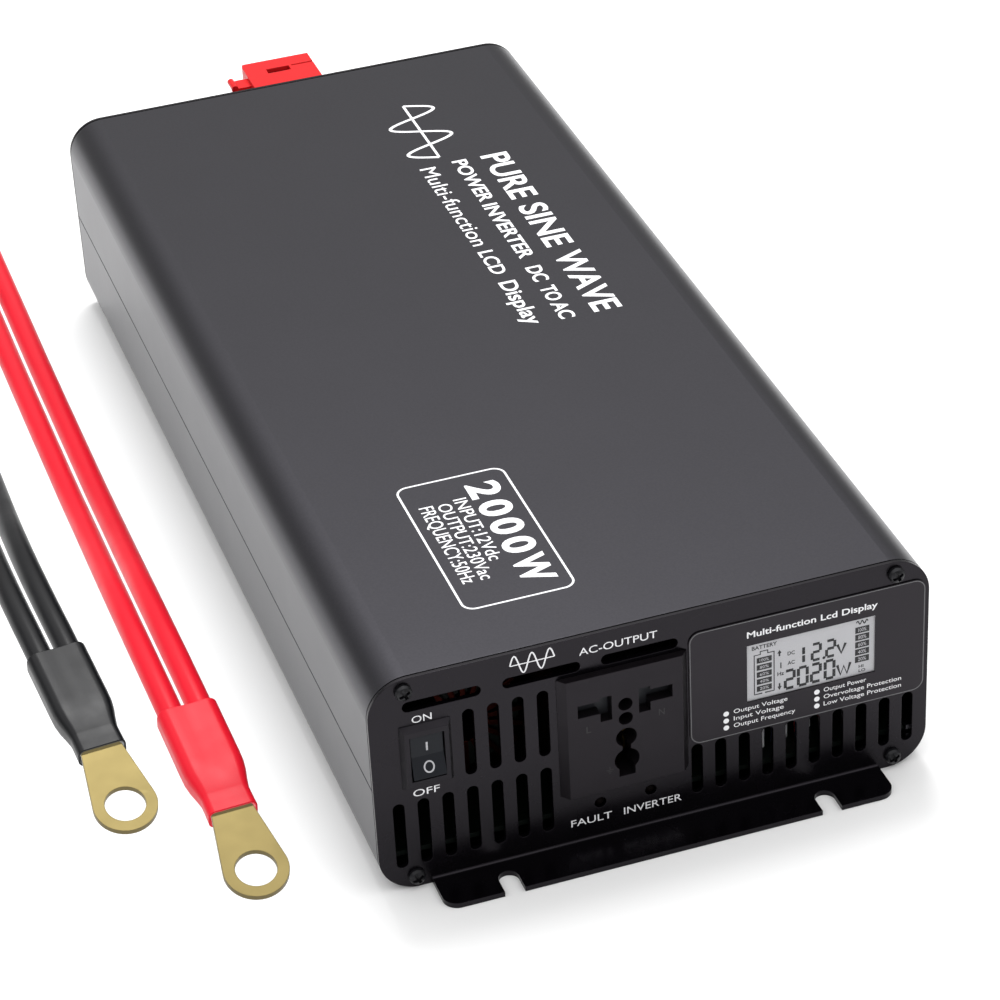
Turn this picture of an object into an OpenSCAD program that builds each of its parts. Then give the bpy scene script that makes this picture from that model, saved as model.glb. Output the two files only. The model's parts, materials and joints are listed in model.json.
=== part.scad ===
// Power inverter, 12 V battery supply to mains voltage: an extruded aluminium case of two
// half shells, two steel end panels with mounting flanges, a display, a rocker switch and a
// shuttered universal socket at the front, two fans and two covered battery studs at the
// rear, and two pairs of battery leads that lie beside the case.
// X is the width, Y runs from the front panel (-Y) to the rear (+Y), Z is up. The origin is
// on the standing surface, under the middle of the inverter.

/* [Case] */
// Outside width of the case
body_w = 166; // [164:1:172]
// Outside height of the case
body_h = 72; // [72:0.5:75]
// Length over the outer faces of the two end panels
case_l = 357.5; // [357.5:0.5:375]
// Outside radius of the four long edges
corner_r = 12; // [11:0.5:13]
// Wall thickness of the aluminium shells
shell_t = 2; // [1.8:0.1:2.2]
// Thickness of the steel end panels
panel_t = 1.6; // [1.5:0.1:1.6]

/* [Mounting flanges] */
// Width of the flange bent out from the foot of each end panel
flange_w = 136; // [120:1:140]
// How far a flange stands out from its panel
flange_d = 13.5; // [12:0.5:16]
// Width of a screw notch, which is open at the flange's free edge
notch_w = 6; // [5:0.5:7]
// Depth of a screw notch
notch_depth = 8.5; // [7:0.5:10]
// Distance of each notch from the middle of the flange
notch_x = 48; // [40:1:56]

/* [Ventilation slots] */
// Width of the slots in the front panel
slot_w = 3.4; // [2.5:0.1:4]
// Spacing of the upright slots
slot_pitch = 7.2; // [6.5:0.1:7.2]

/* [AC socket] */
// Width of the socket's face
socket_w = 38.6; // [38.6:0.2:39.6]
// Height of the socket's face
socket_h = 40.4; // [40.4:0.2:41.4]
// How far the face stands out of the panel
socket_out = 2.5; // [2:0.1:3]
// How far a shutter slides down to clear its pin slot
shutter_travel = 9.6; // [9:0.1:9.6]

/* [Rocker switch] */
// Width of the switch bezel
bezel_w = 15; // [15:0.5:16]
// Height of the switch bezel
bezel_h = 21; // [21:0.5:22]
// Angle that the rocker turns between its two positions
rocker_turn = 18; // [14:1:18]

/* [Fans] */
// Side of the square fan frames
fan_size = 60; // [58:1:60]
// Depth of the fan frames
fan_depth = 25; // [20:1:25]
// Number of blades on each fan rotor
fan_blades = 7; // [5:1:9]

/* [Battery terminals] */
// Diameter of the battery studs
stud_d = 10; // [8:1:10]
// How far the terminal covers stand out behind the rear panel
terminal_d = 30; // [30:0.5:34]

/* [Battery leads] */
// Diameter of one lead wire over its insulation
wire_d = 7.8; // [7:0.1:7.8]
// Distance between the middles of the two wires of a pair
wire_gap = 8.8; // [8:0.1:8.8]
// Distance between the ring holes at the two ends of a lead
lead_l = 500; // [490:5:640]
// Diameter of the hole in a ring lug
lug_hole_d = 12; // [10:0.5:13]

/* [Hidden] */
$fn = 64;

// The end faces and the ends of the shells, with the origin under the middle of the length
front_y = flange_d - (flange_d + case_l + terminal_d) / 2;
rear_y = front_y + case_l;
shell_y0 = front_y + panel_t;
shell_y1 = rear_y - panel_t;

// The seam between the two shells, at half height, and the lip that closes it inside
seam_z = body_h / 2;
groove = 0.5;
lip_t = 1.4;
lip_gap = 0.1;
lip_rise = 4;

// Panel screws and the ports in the shells that they are driven into
screw_x = body_w / 2 - 10.5;
screw_z = 4;
port_r = 3.1;
port_hole_r = 1.25;
screw_head_r = 2.45;

// A step round the back of each end panel leaves a narrow groove next to the shells
edge_gap = 0.5;
edge_step = 1;

// Flange corners and the fillet of its bend
flange_r = 4.5;
bend_r = 0.8;

// Main circuit board and the ribs that it slides between
board_t = 1.6;
board_z = 9;
board_top = board_z + board_t;
board_half_w = body_w / 2 - 3.8;
board_y0 = front_y + 4;
board_y1 = shell_y1 - fan_depth - 6;
rib_t = 1.5;
rib_reach = 5.5;

// Front panel slots: [middle x of the first, lowest z, highest z, number]
upright_rows = [[-76.2, 7.8, 30.3, 7], [-54.6, 34.5, 57, 4], [12.1, 8.2, 25.5, 10]];
// Level slots under the top edge
level_slot_x = [-61.8, -33, -4.3];
level_slot_z = 62.4;
level_slot_l = 22.6;

// Display: the label on the panel, its window and the module behind
label_x = 45.9;
label_z = 45.1;
label_size = [71.8, 38.6];
label_r = 3.5;
label_t = 0.4;
lcd_x = 46.9;
lcd_z = 45.8;
lcd_view = [39.1, 19.6];
window_y = [-0.3, 0.15];
lcd_y = 0.3;
lcd_back = [50, 30, 3];
display_board_size = [64, 36];
standoff_x = 29;
standoff_z = 14;
standoff_r = 2.2;

// Status lights under the socket
led_x = [-17.3, -2.1];
led_z = 13.4;
led_r = 1.5;
led_l = 4.8;
led_board_size = [28, 5.6];

// Rocker switch: its middle, its body behind the panel and the rocker's pivot
switch_x = -67.2;
switch_z = 45.6;
bezel_out = 2;
bezel_slope = 1.2;
switch_body = [12.8, 19, 17];
rocker_well = [10, 15, 8];
rocker_w = 9.4;
pivot_in = 0.5;
pivot_r = 1.2;
pivot_gap = 0.05;

// Socket: its middle, its slab and body behind the panel, and its pin openings,
// all measured from the middle of the face
socket_x = -9.8;
socket_z = 39.2;
socket_bevel = 2.2;
socket_core = [35.6, 37.6];
slab_in = 4;
skin_in = 1;
socket_body_end = 28;
pocket_end = 22;
flat_slot = [4, 14, 7.2, 11.4];
upright_slot = [4, 7.4, 4.3, 12.5];
round_hole_r = 2.1;
round_hole_z = [8.4, 3.5];
key_upper = [3.1, -3];
key_lower = [3.7, -10.8];
key_neck_w = 2.5;
key_foot = [4.8, -16.4];
shutter_x = [3.5, 14.6];
shutter_z = [3.6, 13.2];
shutter_t = 2;
shutter_gap = 0.3;
spring_x = 9;
spring_r = 0.9;
spring_foot = -16;
contact_x = 8.4;
contact_z = 8.5;
earth_contact_z = -9;

// Fans: middle of each, bore, hub and shaft
fan_x = 45;
fan_z = body_h / 2;
fan_bore_r = fan_size / 2 - 1.5;
fan_hole = 25;
hub_r = 12.5;
blade_r = fan_bore_r - 1;
shaft_r = 1.5;
shaft_gap = 0.05;
rotor_y0 = 4.6;
rotor_l = fan_depth - 8.2;
guard_wire_r = 0.8;
guard_rings = [9.5, 15.5, 21.5, 27.5];

// Battery terminals: heights of the red and the black stud, and the stack on a stud
red_z = 55.2;
black_z = 16.8;
base_w = 27;
base_h = 27;
base_t = 5;
boss_r = 7.8;
washer_r = stud_d;
washer_t = 2;
nut_r = 9.8;
nut_t = 8;
stud_in = 16;
stud_out = 24;
bar_t = 2;

// Terminal covers, measured from the stud's axis and the rear panel
cover_half = 12.6;
cover_t = 1.6;
cover_y0 = base_t + 0.4;
hinge_x = 16.2;
hinge_y = 8.5;
hinge_r = 2.6;
hinge_pin_r = 1;
knuckle_z = [-9.8, 5.8];
lug_z = [[-13.5, -10.1], [6.1, 9.7]];
roll_r = 3;
round_r = [5, 1.8];

// Power parts on the board
transformer_places = [[-30, -15], [30, -15], [-30, 45], [30, 45]];
core_size = [44, 18, 40];
core_leg = 6.2;
core_yoke = 6;
coil_size = [29.2, 36];
choke_places = [[-47, -148], [34, -118]];
choke_r = [9, 17];
choke_h = 14;
choke_wire = 1.6;
choke_turns = 20;
input_cap_places = [for (x = [-56, -36, 36, 56], y = [81, 101]) [x, y]];
bus_cap_places = [[-52, -92], [-26, -92]];
film_cap_places = [[16, -150], [16, -136]];
spreader_y = [-120, 110];
spreader_t = 6;
spreader_z = [12.4, 30.4];
transistor_y = [for (i = [0 : 9]) -104 + 22 * i];
clamp_screw_y = [for (i = [0 : 4]) -93 + 44 * i];
fuse_x = [-38, -28, -18, 18, 28, 38];

// Battery leads: the middle of the front ring hole of each, and the pitch of its parts
red_ring = [-113.8, -167.5, 3.8];
black_ring = [-141.3, -125, 3.8];
red_yaw = 3;
black_yaw = 5;
lug_pitch = 18;
sleeve_pitch = 10;
lug_t = 1.8;
lug_ring_r = 9.5;
lug_neck_w = 12.4;
tongue_l = 21;
barrel = [12.4, 17, 5.6];
sleeve_rear = [18.4, 9.6];
sleeve_waist = [14.2, 7];
sleeve_mouth = [15.2, 7.2];
sleeve_at = [-1, 6, 17, 41];
wire_sides = 8;

// The front half of each lead's route, from its lug to its middle; the rear half mirrors it
red_route = [
    [-115.7, -130.5, 13.3], [-116.5, -115.5, 15.9], [-117.3, -100.5, 18.6], [-117.9, -83.5, 20.2],
    [-118.1, -63.5, 20], [-117.7, -41.5, 17.5], [-116.8, -17.5, 13], [-115.8, 8.5, 8.3],
    [-115.2, 37.5, 4.9], [-115, 67.5, 3.9]
];
black_route = [
    [-144.5, -88, 13.3], [-145.8, -73, 15.9], [-147.1, -58, 18.6], [-148.3, -41, 20.2],
    [-149, -21, 20], [-148.9, 1, 17.5], [-148.1, 25, 13], [-147, 51, 8.3],
    [-146.2, 80, 4.9], [-145.8, 110, 3.9]
];

// ---------------------------------------------------------------- helpers

// A rectangle with round corners, centred
module rounded(w, h, r) {
    square([w - 2 * r, h], center = true);
    square([w, h - 2 * r], center = true);
    for (sx = [-1, 1], sy = [-1, 1])
        translate([sx * (w / 2 - r), sy * (h / 2 - r)]) circle(r);
}

// Stands a flat shape, drawn in X and Z, up between two places along Y
module along_y(y0, y1) {
    translate([0, y1, 0]) rotate([90, 0, 0]) linear_extrude(y1 - y0) children();
}

// The outline of the case, drawn in by a distance
module case_outline(inset = 0) {
    translate([0, body_h / 2])
        rounded(body_w - 2 * inset, body_h - 2 * inset, corner_r - inset);
}

// A slot with round ends between two points
module slot(a, b, w) {
    along = b - a;
    turn = atan2(along[1], along[0]);
    translate(a) rotate(turn) translate([0, -w / 2]) square([norm(along), w]);
    translate(a) circle(d = w);
    translate(b) circle(d = w);
}

module at_panel_screws() {
    for (x = [-screw_x, screw_x], z = [screw_z, body_h - screw_z]) translate([x, z]) children();
}

// A pan head screw: head at the origin, shank along -Z
module pan_screw(head_r, head_h, shank_r, shank_l, cross) {
    difference() {
        rotate_extrude()
            polygon([
                [0, -shank_l], [shank_r * 0.7, -shank_l], [shank_r, -shank_l + 0.8], [shank_r, 0],
                [head_r, 0], [head_r, head_h * 0.4], [head_r * 0.84, head_h * 0.75],
                [head_r * 0.5, head_h * 0.95], [0, head_h]
            ]);
        for (a = [0, 90]) rotate(a)
            translate([-cross / 2, -cross / 7, head_h * 0.35]) cube([cross, cross / 3.5, head_h]);
    }
}

// ---------------------------------------------------------------- case

module half_outline(upper) {
    difference() {
        union() {
            intersection() {
                difference() {
                    case_outline();
                    case_outline(shell_t);
                }
                translate([-body_w, upper ? seam_z : seam_z - body_h]) square([2 * body_w, body_h]);
            }
            intersection() {
                at_panel_screws() circle(port_r);
                translate([-body_w, upper ? seam_z : seam_z - body_h]) square([2 * body_w, body_h]);
                case_outline(shell_t / 2);
            }
        }
        at_panel_screws() circle(port_hole_r);
        for (x = [-body_w / 2, body_w / 2])
            translate([x, seam_z]) rotate(45) square(groove, center = true);
    }
}

module top_shell() {
    color("dimgray") along_y(shell_y0, shell_y1) half_outline(true);
}

module bottom_shell() {
    lip_x = body_w / 2 - shell_t - lip_t;
    color("dimgray") along_y(shell_y0, shell_y1) {
        half_outline(false);
        for (side = [0, 1]) mirror([side, 0]) {
            translate([lip_x, seam_z - lip_rise]) square([lip_t - lip_gap, 2 * lip_rise]);
            translate([lip_x, seam_z - lip_rise]) square([lip_t + shell_t / 2, lip_rise - 0.2]);
            intersection() {
                for (z = [board_z - rib_t, board_top + 0.1])
                    translate([body_w / 2 - rib_reach, z]) square([rib_reach, rib_t]);
                case_outline(shell_t / 2);
            }
        }
    }
}

// The flange of an end panel, seen from above, with its bend on the X axis
module flange_outline() {
    difference() {
        union() {
            translate([-flange_w / 2, flange_r - flange_d])
                square([flange_w, flange_d - flange_r + panel_t]);
            translate([flange_r - flange_w / 2, -flange_d])
                square([flange_w - 2 * flange_r, flange_d]);
            for (side = [-1, 1])
                translate([side * (flange_w / 2 - flange_r), flange_r - flange_d]) circle(flange_r);
        }
        for (side = [-1, 1]) {
            translate([side * notch_x, notch_depth - flange_d - notch_w / 2]) circle(d = notch_w);
            translate([side * notch_x - notch_w / 2, -flange_d - 1])
                square([notch_w, notch_depth - notch_w / 2 + 1]);
        }
    }
}

// An end panel with its outer face at y = 0 and its flange towards -Y
module panel_blank() {
    along_y(0, panel_t - edge_gap) case_outline();
    along_y(0, panel_t) case_outline(edge_step);
    linear_extrude(panel_t) flange_outline();
    difference() {
        translate([-flange_w / 2, -bend_r, panel_t - 0.01]) cube([flange_w, bend_r + 0.01, bend_r + 0.01]);
        translate([-flange_w / 2 - 1, -bend_r, panel_t + bend_r])
            rotate([0, 90, 0]) cylinder(r = bend_r, h = flange_w + 2);
    }
}

module front_openings() {
    for (row = upright_rows, i = [0 : row[3] - 1]) {
        x = row[0] + i * slot_pitch;
        slot([x, row[1] + slot_w / 2], [x, row[2] - slot_w / 2], slot_w);
    }
    for (x = level_slot_x) {
        half = (level_slot_l - slot_w) / 2;
        slot([x - half, level_slot_z], [x + half, level_slot_z], slot_w);
    }
    translate([lcd_x, lcd_z]) square(lcd_view + [0.5, 0.5], center = true);
    translate([switch_x, switch_z]) square([switch_body[0] + 0.2, switch_body[1] + 0.2], center = true);
    translate([socket_x, socket_z]) square(socket_core + [0.4, 0.4], center = true);
    for (x = led_x) translate([x, led_z]) circle(led_r + 0.25);
    at_panel_screws() circle(1.7);
}

module front_panel() {
    color([0.16, 0.15, 0.16]) translate([0, front_y, 0]) difference() {
        panel_blank();
        along_y(-1, panel_t + 1) front_openings();
    }
}

module at_fans() {
    for (x = [-fan_x, fan_x]) translate([x, fan_z]) children();
}

module rear_panel() {
    color([0.16, 0.15, 0.16]) translate([0, rear_y, 0]) mirror([0, 1, 0]) difference() {
        panel_blank();
        along_y(-1, panel_t + 1) {
            at_fans() {
                circle(fan_bore_r - 0.5);
                for (x = [-fan_hole, fan_hole], z = [-fan_hole, fan_hole]) translate([x, z]) circle(2.2);
            }
            for (z = [red_z, black_z]) translate([0, z]) circle(boss_r + 0.2);
            at_panel_screws() circle(1.7);
        }
    }
}

module panel_screw() {
    pan_screw(screw_head_r, 2.2, 1.2, 8, 3.3);
}

module front_panel_screws() {
    color([0.2, 0.2, 0.21])
        for (x = [-screw_x, screw_x], z = [screw_z, body_h - screw_z])
            translate([x, front_y, z]) rotate([90, 0, 0]) rotate(25) panel_screw();
}

module rear_panel_screws() {
    color([0.2, 0.2, 0.21])
        for (x = [-screw_x, screw_x], z = [screw_z, body_h - screw_z])
            translate([x, rear_y, z]) rotate([-90, 0, 0]) rotate(25) panel_screw();
}

// ---------------------------------------------------------------- display and lights

module display_label() {
    color([0.2, 0.19, 0.2]) along_y(front_y - label_t, front_y) difference() {
        translate([label_x, label_z]) rounded(label_size[0], label_size[1], label_r);
        translate([lcd_x, lcd_z]) square(lcd_view, center = true);
    }
}

module display_window() {
    color([0.8, 0.82, 0.85, 0.4]) along_y(front_y + window_y[0], front_y + window_y[1])
        translate([lcd_x, lcd_z]) square(lcd_view - [0.1, 0.1], center = true);
}

module display_lcd() {
    color([0.72, 0.74, 0.74]) {
        along_y(front_y + lcd_y, front_y + panel_t)
            translate([lcd_x, lcd_z]) square(lcd_view + [0.3, 0.3], center = true);
        along_y(front_y + panel_t, front_y + panel_t + lcd_back[2])
            translate([lcd_x, lcd_z]) square([lcd_back[0], lcd_back[1]], center = true);
    }
}

module display_board() {
    y0 = front_y + panel_t + lcd_back[2];
    color("darkgreen") along_y(y0, y0 + board_t)
        translate([lcd_x, lcd_z]) square(display_board_size, center = true);
}

module display_standoffs() {
    y0 = front_y + panel_t;
    color("silver") for (x = [-standoff_x, standoff_x], z = [-standoff_z, standoff_z])
        along_y(y0, y0 + lcd_back[2]) translate([lcd_x + x, lcd_z + z]) circle(standoff_r);
}

module status_leds() {
    color([0.5, 0.1, 0.08]) for (x = led_x) translate([x, front_y + 0.3, led_z]) rotate([-90, 0, 0]) {
        translate([0, 0, led_r]) sphere(led_r);
        translate([0, 0, led_r]) cylinder(r = led_r, h = led_l - led_r);
        translate([0, 0, panel_t - 0.3]) cylinder(r = led_r + 0.4, h = 1);
    }
}

module led_board() {
    middle = (led_x[0] + led_x[1]) / 2;
    y0 = front_y + 0.3 + led_l;
    color("darkgreen") along_y(y0, y0 + board_t)
        translate([middle, led_z + 0.8]) square(led_board_size, center = true);
}

// ---------------------------------------------------------------- rocker switch

// A block that slopes in on all four sides towards -Y, standing on y = 0
module sloped_block(w, h, out, slope) {
    intersection() {
        translate([0, 0, -h / 2]) linear_extrude(h)
            polygon([[-w / 2, 0], [slope - w / 2, -out], [w / 2 - slope, -out], [w / 2, 0]]);
        rotate([90, 0, 90]) translate([0, 0, -w / 2]) linear_extrude(w)
            polygon([[0, -h / 2], [-out, slope - h / 2], [-out, h / 2 - slope], [0, h / 2]]);
    }
}

module switch_housing() {
    color([0.16, 0.17, 0.19]) translate([switch_x, front_y, switch_z]) difference() {
        union() {
            sloped_block(bezel_w, bezel_h, bezel_out, bezel_slope);
            along_y(0, switch_body[2]) square([switch_body[0], switch_body[1]], center = true);
        }
        along_y(-bezel_out - 1, rocker_well[2]) square([rocker_well[0], rocker_well[1]], center = true);
        translate([-rocker_well[0] / 2 - 0.7, pivot_in, 0]) rotate([0, 90, 0])
            cylinder(r = pivot_r + pivot_gap, h = rocker_well[0] + 1.4);
    }
}

// The rocker's side view in its middle position: [along Y from the panel face, along Z]
rocker_side = [
    [-2.3, -6.6], [-1.2, 0], [-2.3, 6.6], [1.5, 6.6], [4.5, 3], [4.5, -3], [1.5, -6.6]
];

// At rest the upper end is pressed in
module switch_rocker() {
    color([0.22, 0.23, 0.26]) translate([switch_x, front_y + pivot_in, switch_z])
        rotate([-rocker_turn / 2, 0, 0]) {
            translate([-rocker_w / 2, -pivot_in, 0]) rotate([90, 0, 90]) linear_extrude(rocker_w)
                polygon(rocker_side);
            translate([-rocker_w / 2 - 0.85, 0, 0]) rotate([0, 90, 0])
                cylinder(r = pivot_r, h = rocker_w + 1.7);
        }
}

module switch_tabs() {
    y0 = front_y + switch_body[2];
    color("silver") for (z = [-5, 5])
        translate([switch_x - 3.15, y0, switch_z + z - 0.4]) cube([6.3, 8, 0.8]);
}

// ---------------------------------------------------------------- AC socket

// The openings for the pins, from the middle of the face
module pin_openings() {
    for (side = [0, 1]) mirror([side, 0]) {
        translate([flat_slot[0], flat_slot[2]])
            square([flat_slot[1] - flat_slot[0], flat_slot[3] - flat_slot[2]]);
        translate([upright_slot[0], upright_slot[2]])
            square([upright_slot[1] - upright_slot[0], upright_slot[3] - upright_slot[2]]);
    }
    for (z = round_hole_z) translate([0, z]) circle(round_hole_r);
    translate([0, key_upper[1]]) circle(key_upper[0]);
    translate([0, key_lower[1]]) circle(key_lower[0]);
    translate([-key_neck_w / 2, key_lower[1]]) square([key_neck_w, key_upper[1] - key_lower[1]]);
    translate([-key_foot[0] / 2, key_foot[1]]) square([key_foot[0], key_lower[1] - key_foot[1]]);
}

// The channel of the shutter at +X, with its spring's channel below
module shutter_channel() {
    foot = shutter_z[0] - shutter_travel - shutter_gap;
    translate([shutter_x[0] - shutter_gap, foot])
        square([shutter_x[1] - shutter_x[0] + 2 * shutter_gap, shutter_z[1] - foot + shutter_gap]);
    translate([spring_x - spring_r - 0.2, spring_foot])
        square([2 * spring_r + 0.4, foot - spring_foot + 0.1]);
}

module socket_face() {
    color([0.17, 0.16, 0.17]) translate([socket_x, front_y, socket_z]) difference() {
        union() {
            translate([0, 0, -socket_h / 2]) linear_extrude(socket_h)
                polygon([
                    [-socket_w / 2, 0], [socket_bevel - socket_w / 2, -socket_out],
                    [socket_w / 2 - socket_bevel, -socket_out], [socket_w / 2, 0]
                ]);
            along_y(-0.01, slab_in) square(socket_core, center = true);
        }
        along_y(-socket_out - 1, slab_in + 1) pin_openings();
        along_y(skin_in, slab_in + 1) for (side = [0, 1]) mirror([side, 0]) shutter_channel();
    }
}

module socket_body() {
    color([0.14, 0.14, 0.15]) translate([socket_x, front_y, socket_z]) difference() {
        along_y(slab_in, socket_body_end) square(socket_core, center = true);
        along_y(slab_in - 1, pocket_end) {
            for (side = [0, 1]) mirror([side, 0]) translate([3.6, 3.4]) square([11.4, 10]);
            translate([-2.5, -1]) square([5, 12]);
            translate([-3.9, -17]) square([7.8, 17]);
        }
        for (x = [-contact_x, contact_x]) translate([x, 0, contact_z]) contact_tail();
        translate([0, 0, earth_contact_z]) contact_tail();
    }
}

module shutter(side) {
    color([0.3, 0.32, 0.34]) translate([socket_x, front_y, socket_z]) mirror([side, 0, 0])
        along_y(skin_in + shutter_gap, skin_in + shutter_gap + shutter_t)
            translate([shutter_x[0], shutter_z[0]])
                square([shutter_x[1] - shutter_x[0], shutter_z[1] - shutter_z[0]]);
}

module left_shutter() {
    shutter(1);
}

module right_shutter() {
    shutter(0);
}

// Each spring is a close coil, drawn as one ribbed rod
module shutter_springs() {
    long = shutter_z[0] - spring_foot - 0.1;
    turns = 16;
    step = long / turns;
    ribs = [for (i = [0 : 2 * turns]) [i % 2 == 0 ? spring_r - 0.25 : spring_r, i * step / 2]];
    color("silver") translate([socket_x, front_y + skin_in + shutter_gap + shutter_t / 2, socket_z])
        for (x = [-spring_x, spring_x]) translate([x, 0, spring_foot])
            rotate_extrude() polygon(concat([[0, 0]], ribs, [[0, long]]));
}

// A brass channel that grips a pin, open towards the front, and its tail out of the body
module contact_tail() {
    translate([-2, 19.5, -0.4]) cube([4, 14.5, 0.8]);
}

module pin_contact(w, h) {
    difference() {
        translate([-w / 2, 9, -h / 2]) cube([w, 11, h]);
        translate([0.8 - w / 2, 8, 0.8 - h / 2]) cube([w - 1.6, 11.2, h - 1.6]);
    }
    contact_tail();
}

module live_neutral_contacts() {
    color("goldenrod") translate([socket_x, front_y, socket_z])
        for (x = [-contact_x, contact_x]) translate([x, 0, contact_z]) pin_contact(9.4, 9.4);
}

module earth_contact() {
    color("goldenrod") translate([socket_x, front_y, socket_z + earth_contact_z])
        pin_contact(7.4, 14);
}

// ---------------------------------------------------------------- fans

// Stands a fan, drawn with its axis along Z from its inner face, in its place
module at_fan(x) {
    translate([x, shell_y1 - fan_depth, fan_z]) rotate([-90, 0, 0]) children();
}

module fan_frame() {
    corner = 10;
    difference() {
        linear_extrude(fan_depth) difference() {
            rounded(fan_size, fan_size, corner);
            circle(fan_bore_r);
            for (x = [-fan_hole, fan_hole], y = [-fan_hole, fan_hole]) translate([x, y]) circle(1.55);
        }
        // The frame's outside is drawn in between its two flanges
        translate([0, 0, 4]) linear_extrude(fan_depth - 8) for (a = [0 : 90 : 270]) rotate(a)
            translate([-13, fan_size / 2 - 0.7]) square([26, 2]);
    }
    // The motor plate on its struts, and the bearing tube
    difference() {
        union() {
            cylinder(r = hub_r, h = 3);
            cylinder(r = 4, h = 15);
            intersection() {
                for (a = [45 : 90 : 315]) rotate(a) translate([0, -1.5, 0]) cube([fan_size, 3, 3]);
                cylinder(r = fan_bore_r + 0.5, h = 3);
            }
        }
        translate([0, 0, -1]) cylinder(r = shaft_r + shaft_gap, h = 20);
    }
}

module left_fan_frame() {
    color([0.13, 0.13, 0.14]) at_fan(-fan_x) fan_frame();
}

module right_fan_frame() {
    color([0.13, 0.13, 0.14]) at_fan(fan_x) fan_frame();
}

module fan_rotor() {
    cup_t = 2;
    difference() {
        translate([0, 0, rotor_y0]) cylinder(r = hub_r, h = rotor_l);
        translate([0, 0, rotor_y0 - 1]) cylinder(r = hub_r - cup_t, h = rotor_l - cup_t + 1);
    }
    translate([0, 0, 0.5]) cylinder(r = shaft_r, h = rotor_y0 + rotor_l - 1);
    intersection() {
        for (i = [0 : fan_blades - 1]) rotate(i * 360 / fan_blades)
            translate([hub_r - 1, 0, rotor_y0 + rotor_l / 2]) rotate([42, 0, 0])
                translate([0, -0.6, -10]) cube([blade_r, 1.2, 20]);
        translate([0, 0, rotor_y0]) cylinder(r = blade_r, h = rotor_l);
    }
}

module left_fan_rotor() {
    color([0.17, 0.17, 0.18]) at_fan(-fan_x) fan_rotor();
}

module right_fan_rotor() {
    color([0.17, 0.17, 0.18]) at_fan(fan_x) fan_rotor();
}

// Rings of wire on four arms that cross in the middle, each ending in an eye for a fan screw
module fan_guard() {
    eye = fan_hole * sqrt(2);
    for (r = guard_rings) translate([0, 0, 2.3])
        rotate_extrude() translate([r, 0]) circle(guard_wire_r, $fn = 16);
    for (a = [45 : 90 : 315]) rotate(a) {
        translate([-guard_wire_r, 0, 0.9]) rotate([0, 90, 0])
            cylinder(r = guard_wire_r, h = eye - 1.8, $fn = 16);
        translate([eye, 0, 0]) difference() {
            cylinder(r = 3.2, h = 1.6);
            translate([0, 0, -1]) cylinder(r = 1.7, h = 4);
        }
    }
}

module fan_guards() {
    color("silver") for (x = [-fan_x, fan_x]) translate([x, rear_y, fan_z]) rotate([-90, 0, 0]) fan_guard();
}

module fan_screws() {
    color([0.2, 0.2, 0.21])
        for (fan = [-fan_x, fan_x], x = [-fan_hole, fan_hole], z = [-fan_hole, fan_hole])
            translate([fan + x, rear_y + 1.6, fan_z + z]) rotate([-90, 0, 0])
                pan_screw(2.8, 2, 1.5, 12, 3);
}

// ---------------------------------------------------------------- battery terminals

// The insulating block of a stud, with its boss through the panel and two hinge lugs
module terminal_base() {
    translate([0, rear_y, 0]) {
        difference() {
            union() {
                along_y(0, base_t) rounded(base_w, base_h, 2);
                along_y(-bar_t * 2, 1) circle(boss_r);
            }
            along_y(-10, base_t + 1) circle(stud_d / 2 + 0.1);
        }
        for (z = lug_z) translate([0, 0, z[0]]) linear_extrude(z[1] - z[0]) difference() {
            union() {
                translate([hinge_x, hinge_y]) circle(hinge_r);
                polygon([
                    [base_w / 2 - 3, 0], [base_w / 2, 0], [hinge_x + 2.2, hinge_y - 1.5],
                    [hinge_x, hinge_y], [hinge_x - 2.5, hinge_y - 0.5],
                    [base_w / 2, base_t - 0.1], [base_w / 2 - 3, base_t - 0.1]
                ]);
            }
            translate([hinge_x, hinge_y]) circle(hinge_pin_r + 0.05);
        }
    }
}

module red_terminal_base() {
    color([0.75, 0.1, 0.08]) translate([0, 0, red_z]) terminal_base();
}

module black_terminal_base() {
    color([0.1, 0.1, 0.11]) translate([0, 0, black_z]) terminal_base();
}

module at_studs() {
    for (z = [red_z, black_z]) translate([0, rear_y, z]) rotate([-90, 0, 0]) children();
}

// A turned groove marks where the outer nut stops, and frees the ring's seat beyond it
module terminal_studs() {
    r = stud_d / 2;
    stop = base_t + washer_t + nut_t;
    color("silver") at_studs() rotate_extrude()
        polygon([
            [0, -stud_in], [r - 0.8, -stud_in], [r, 0.8 - stud_in], [r, stop], [r - 0.8, stop + 0.1],
            [r - 0.8, stop + 0.7], [r, stop + 0.8], [r, stud_out - 0.8], [r - 0.8, stud_out], [0, stud_out]
        ]);
}

module hex_nut(h) {
    linear_extrude(h) difference() {
        polygon([for (a = [30 : 60 : 330]) nut_r * [cos(a), sin(a)]]);
        circle(stud_d / 2 + 0.05);
    }
}

module terminal_nuts() {
    color("silver") at_studs() {
        translate([0, 0, base_t + washer_t]) hex_nut(nut_t);
        translate([0, 0, -3 * bar_t - nut_t]) hex_nut(nut_t);
    }
}

module terminal_washers() {
    color("silver") at_studs() translate([0, 0, base_t]) linear_extrude(washer_t) difference() {
        circle(washer_r);
        circle(stud_d / 2 + 0.3);
    }
}

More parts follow.
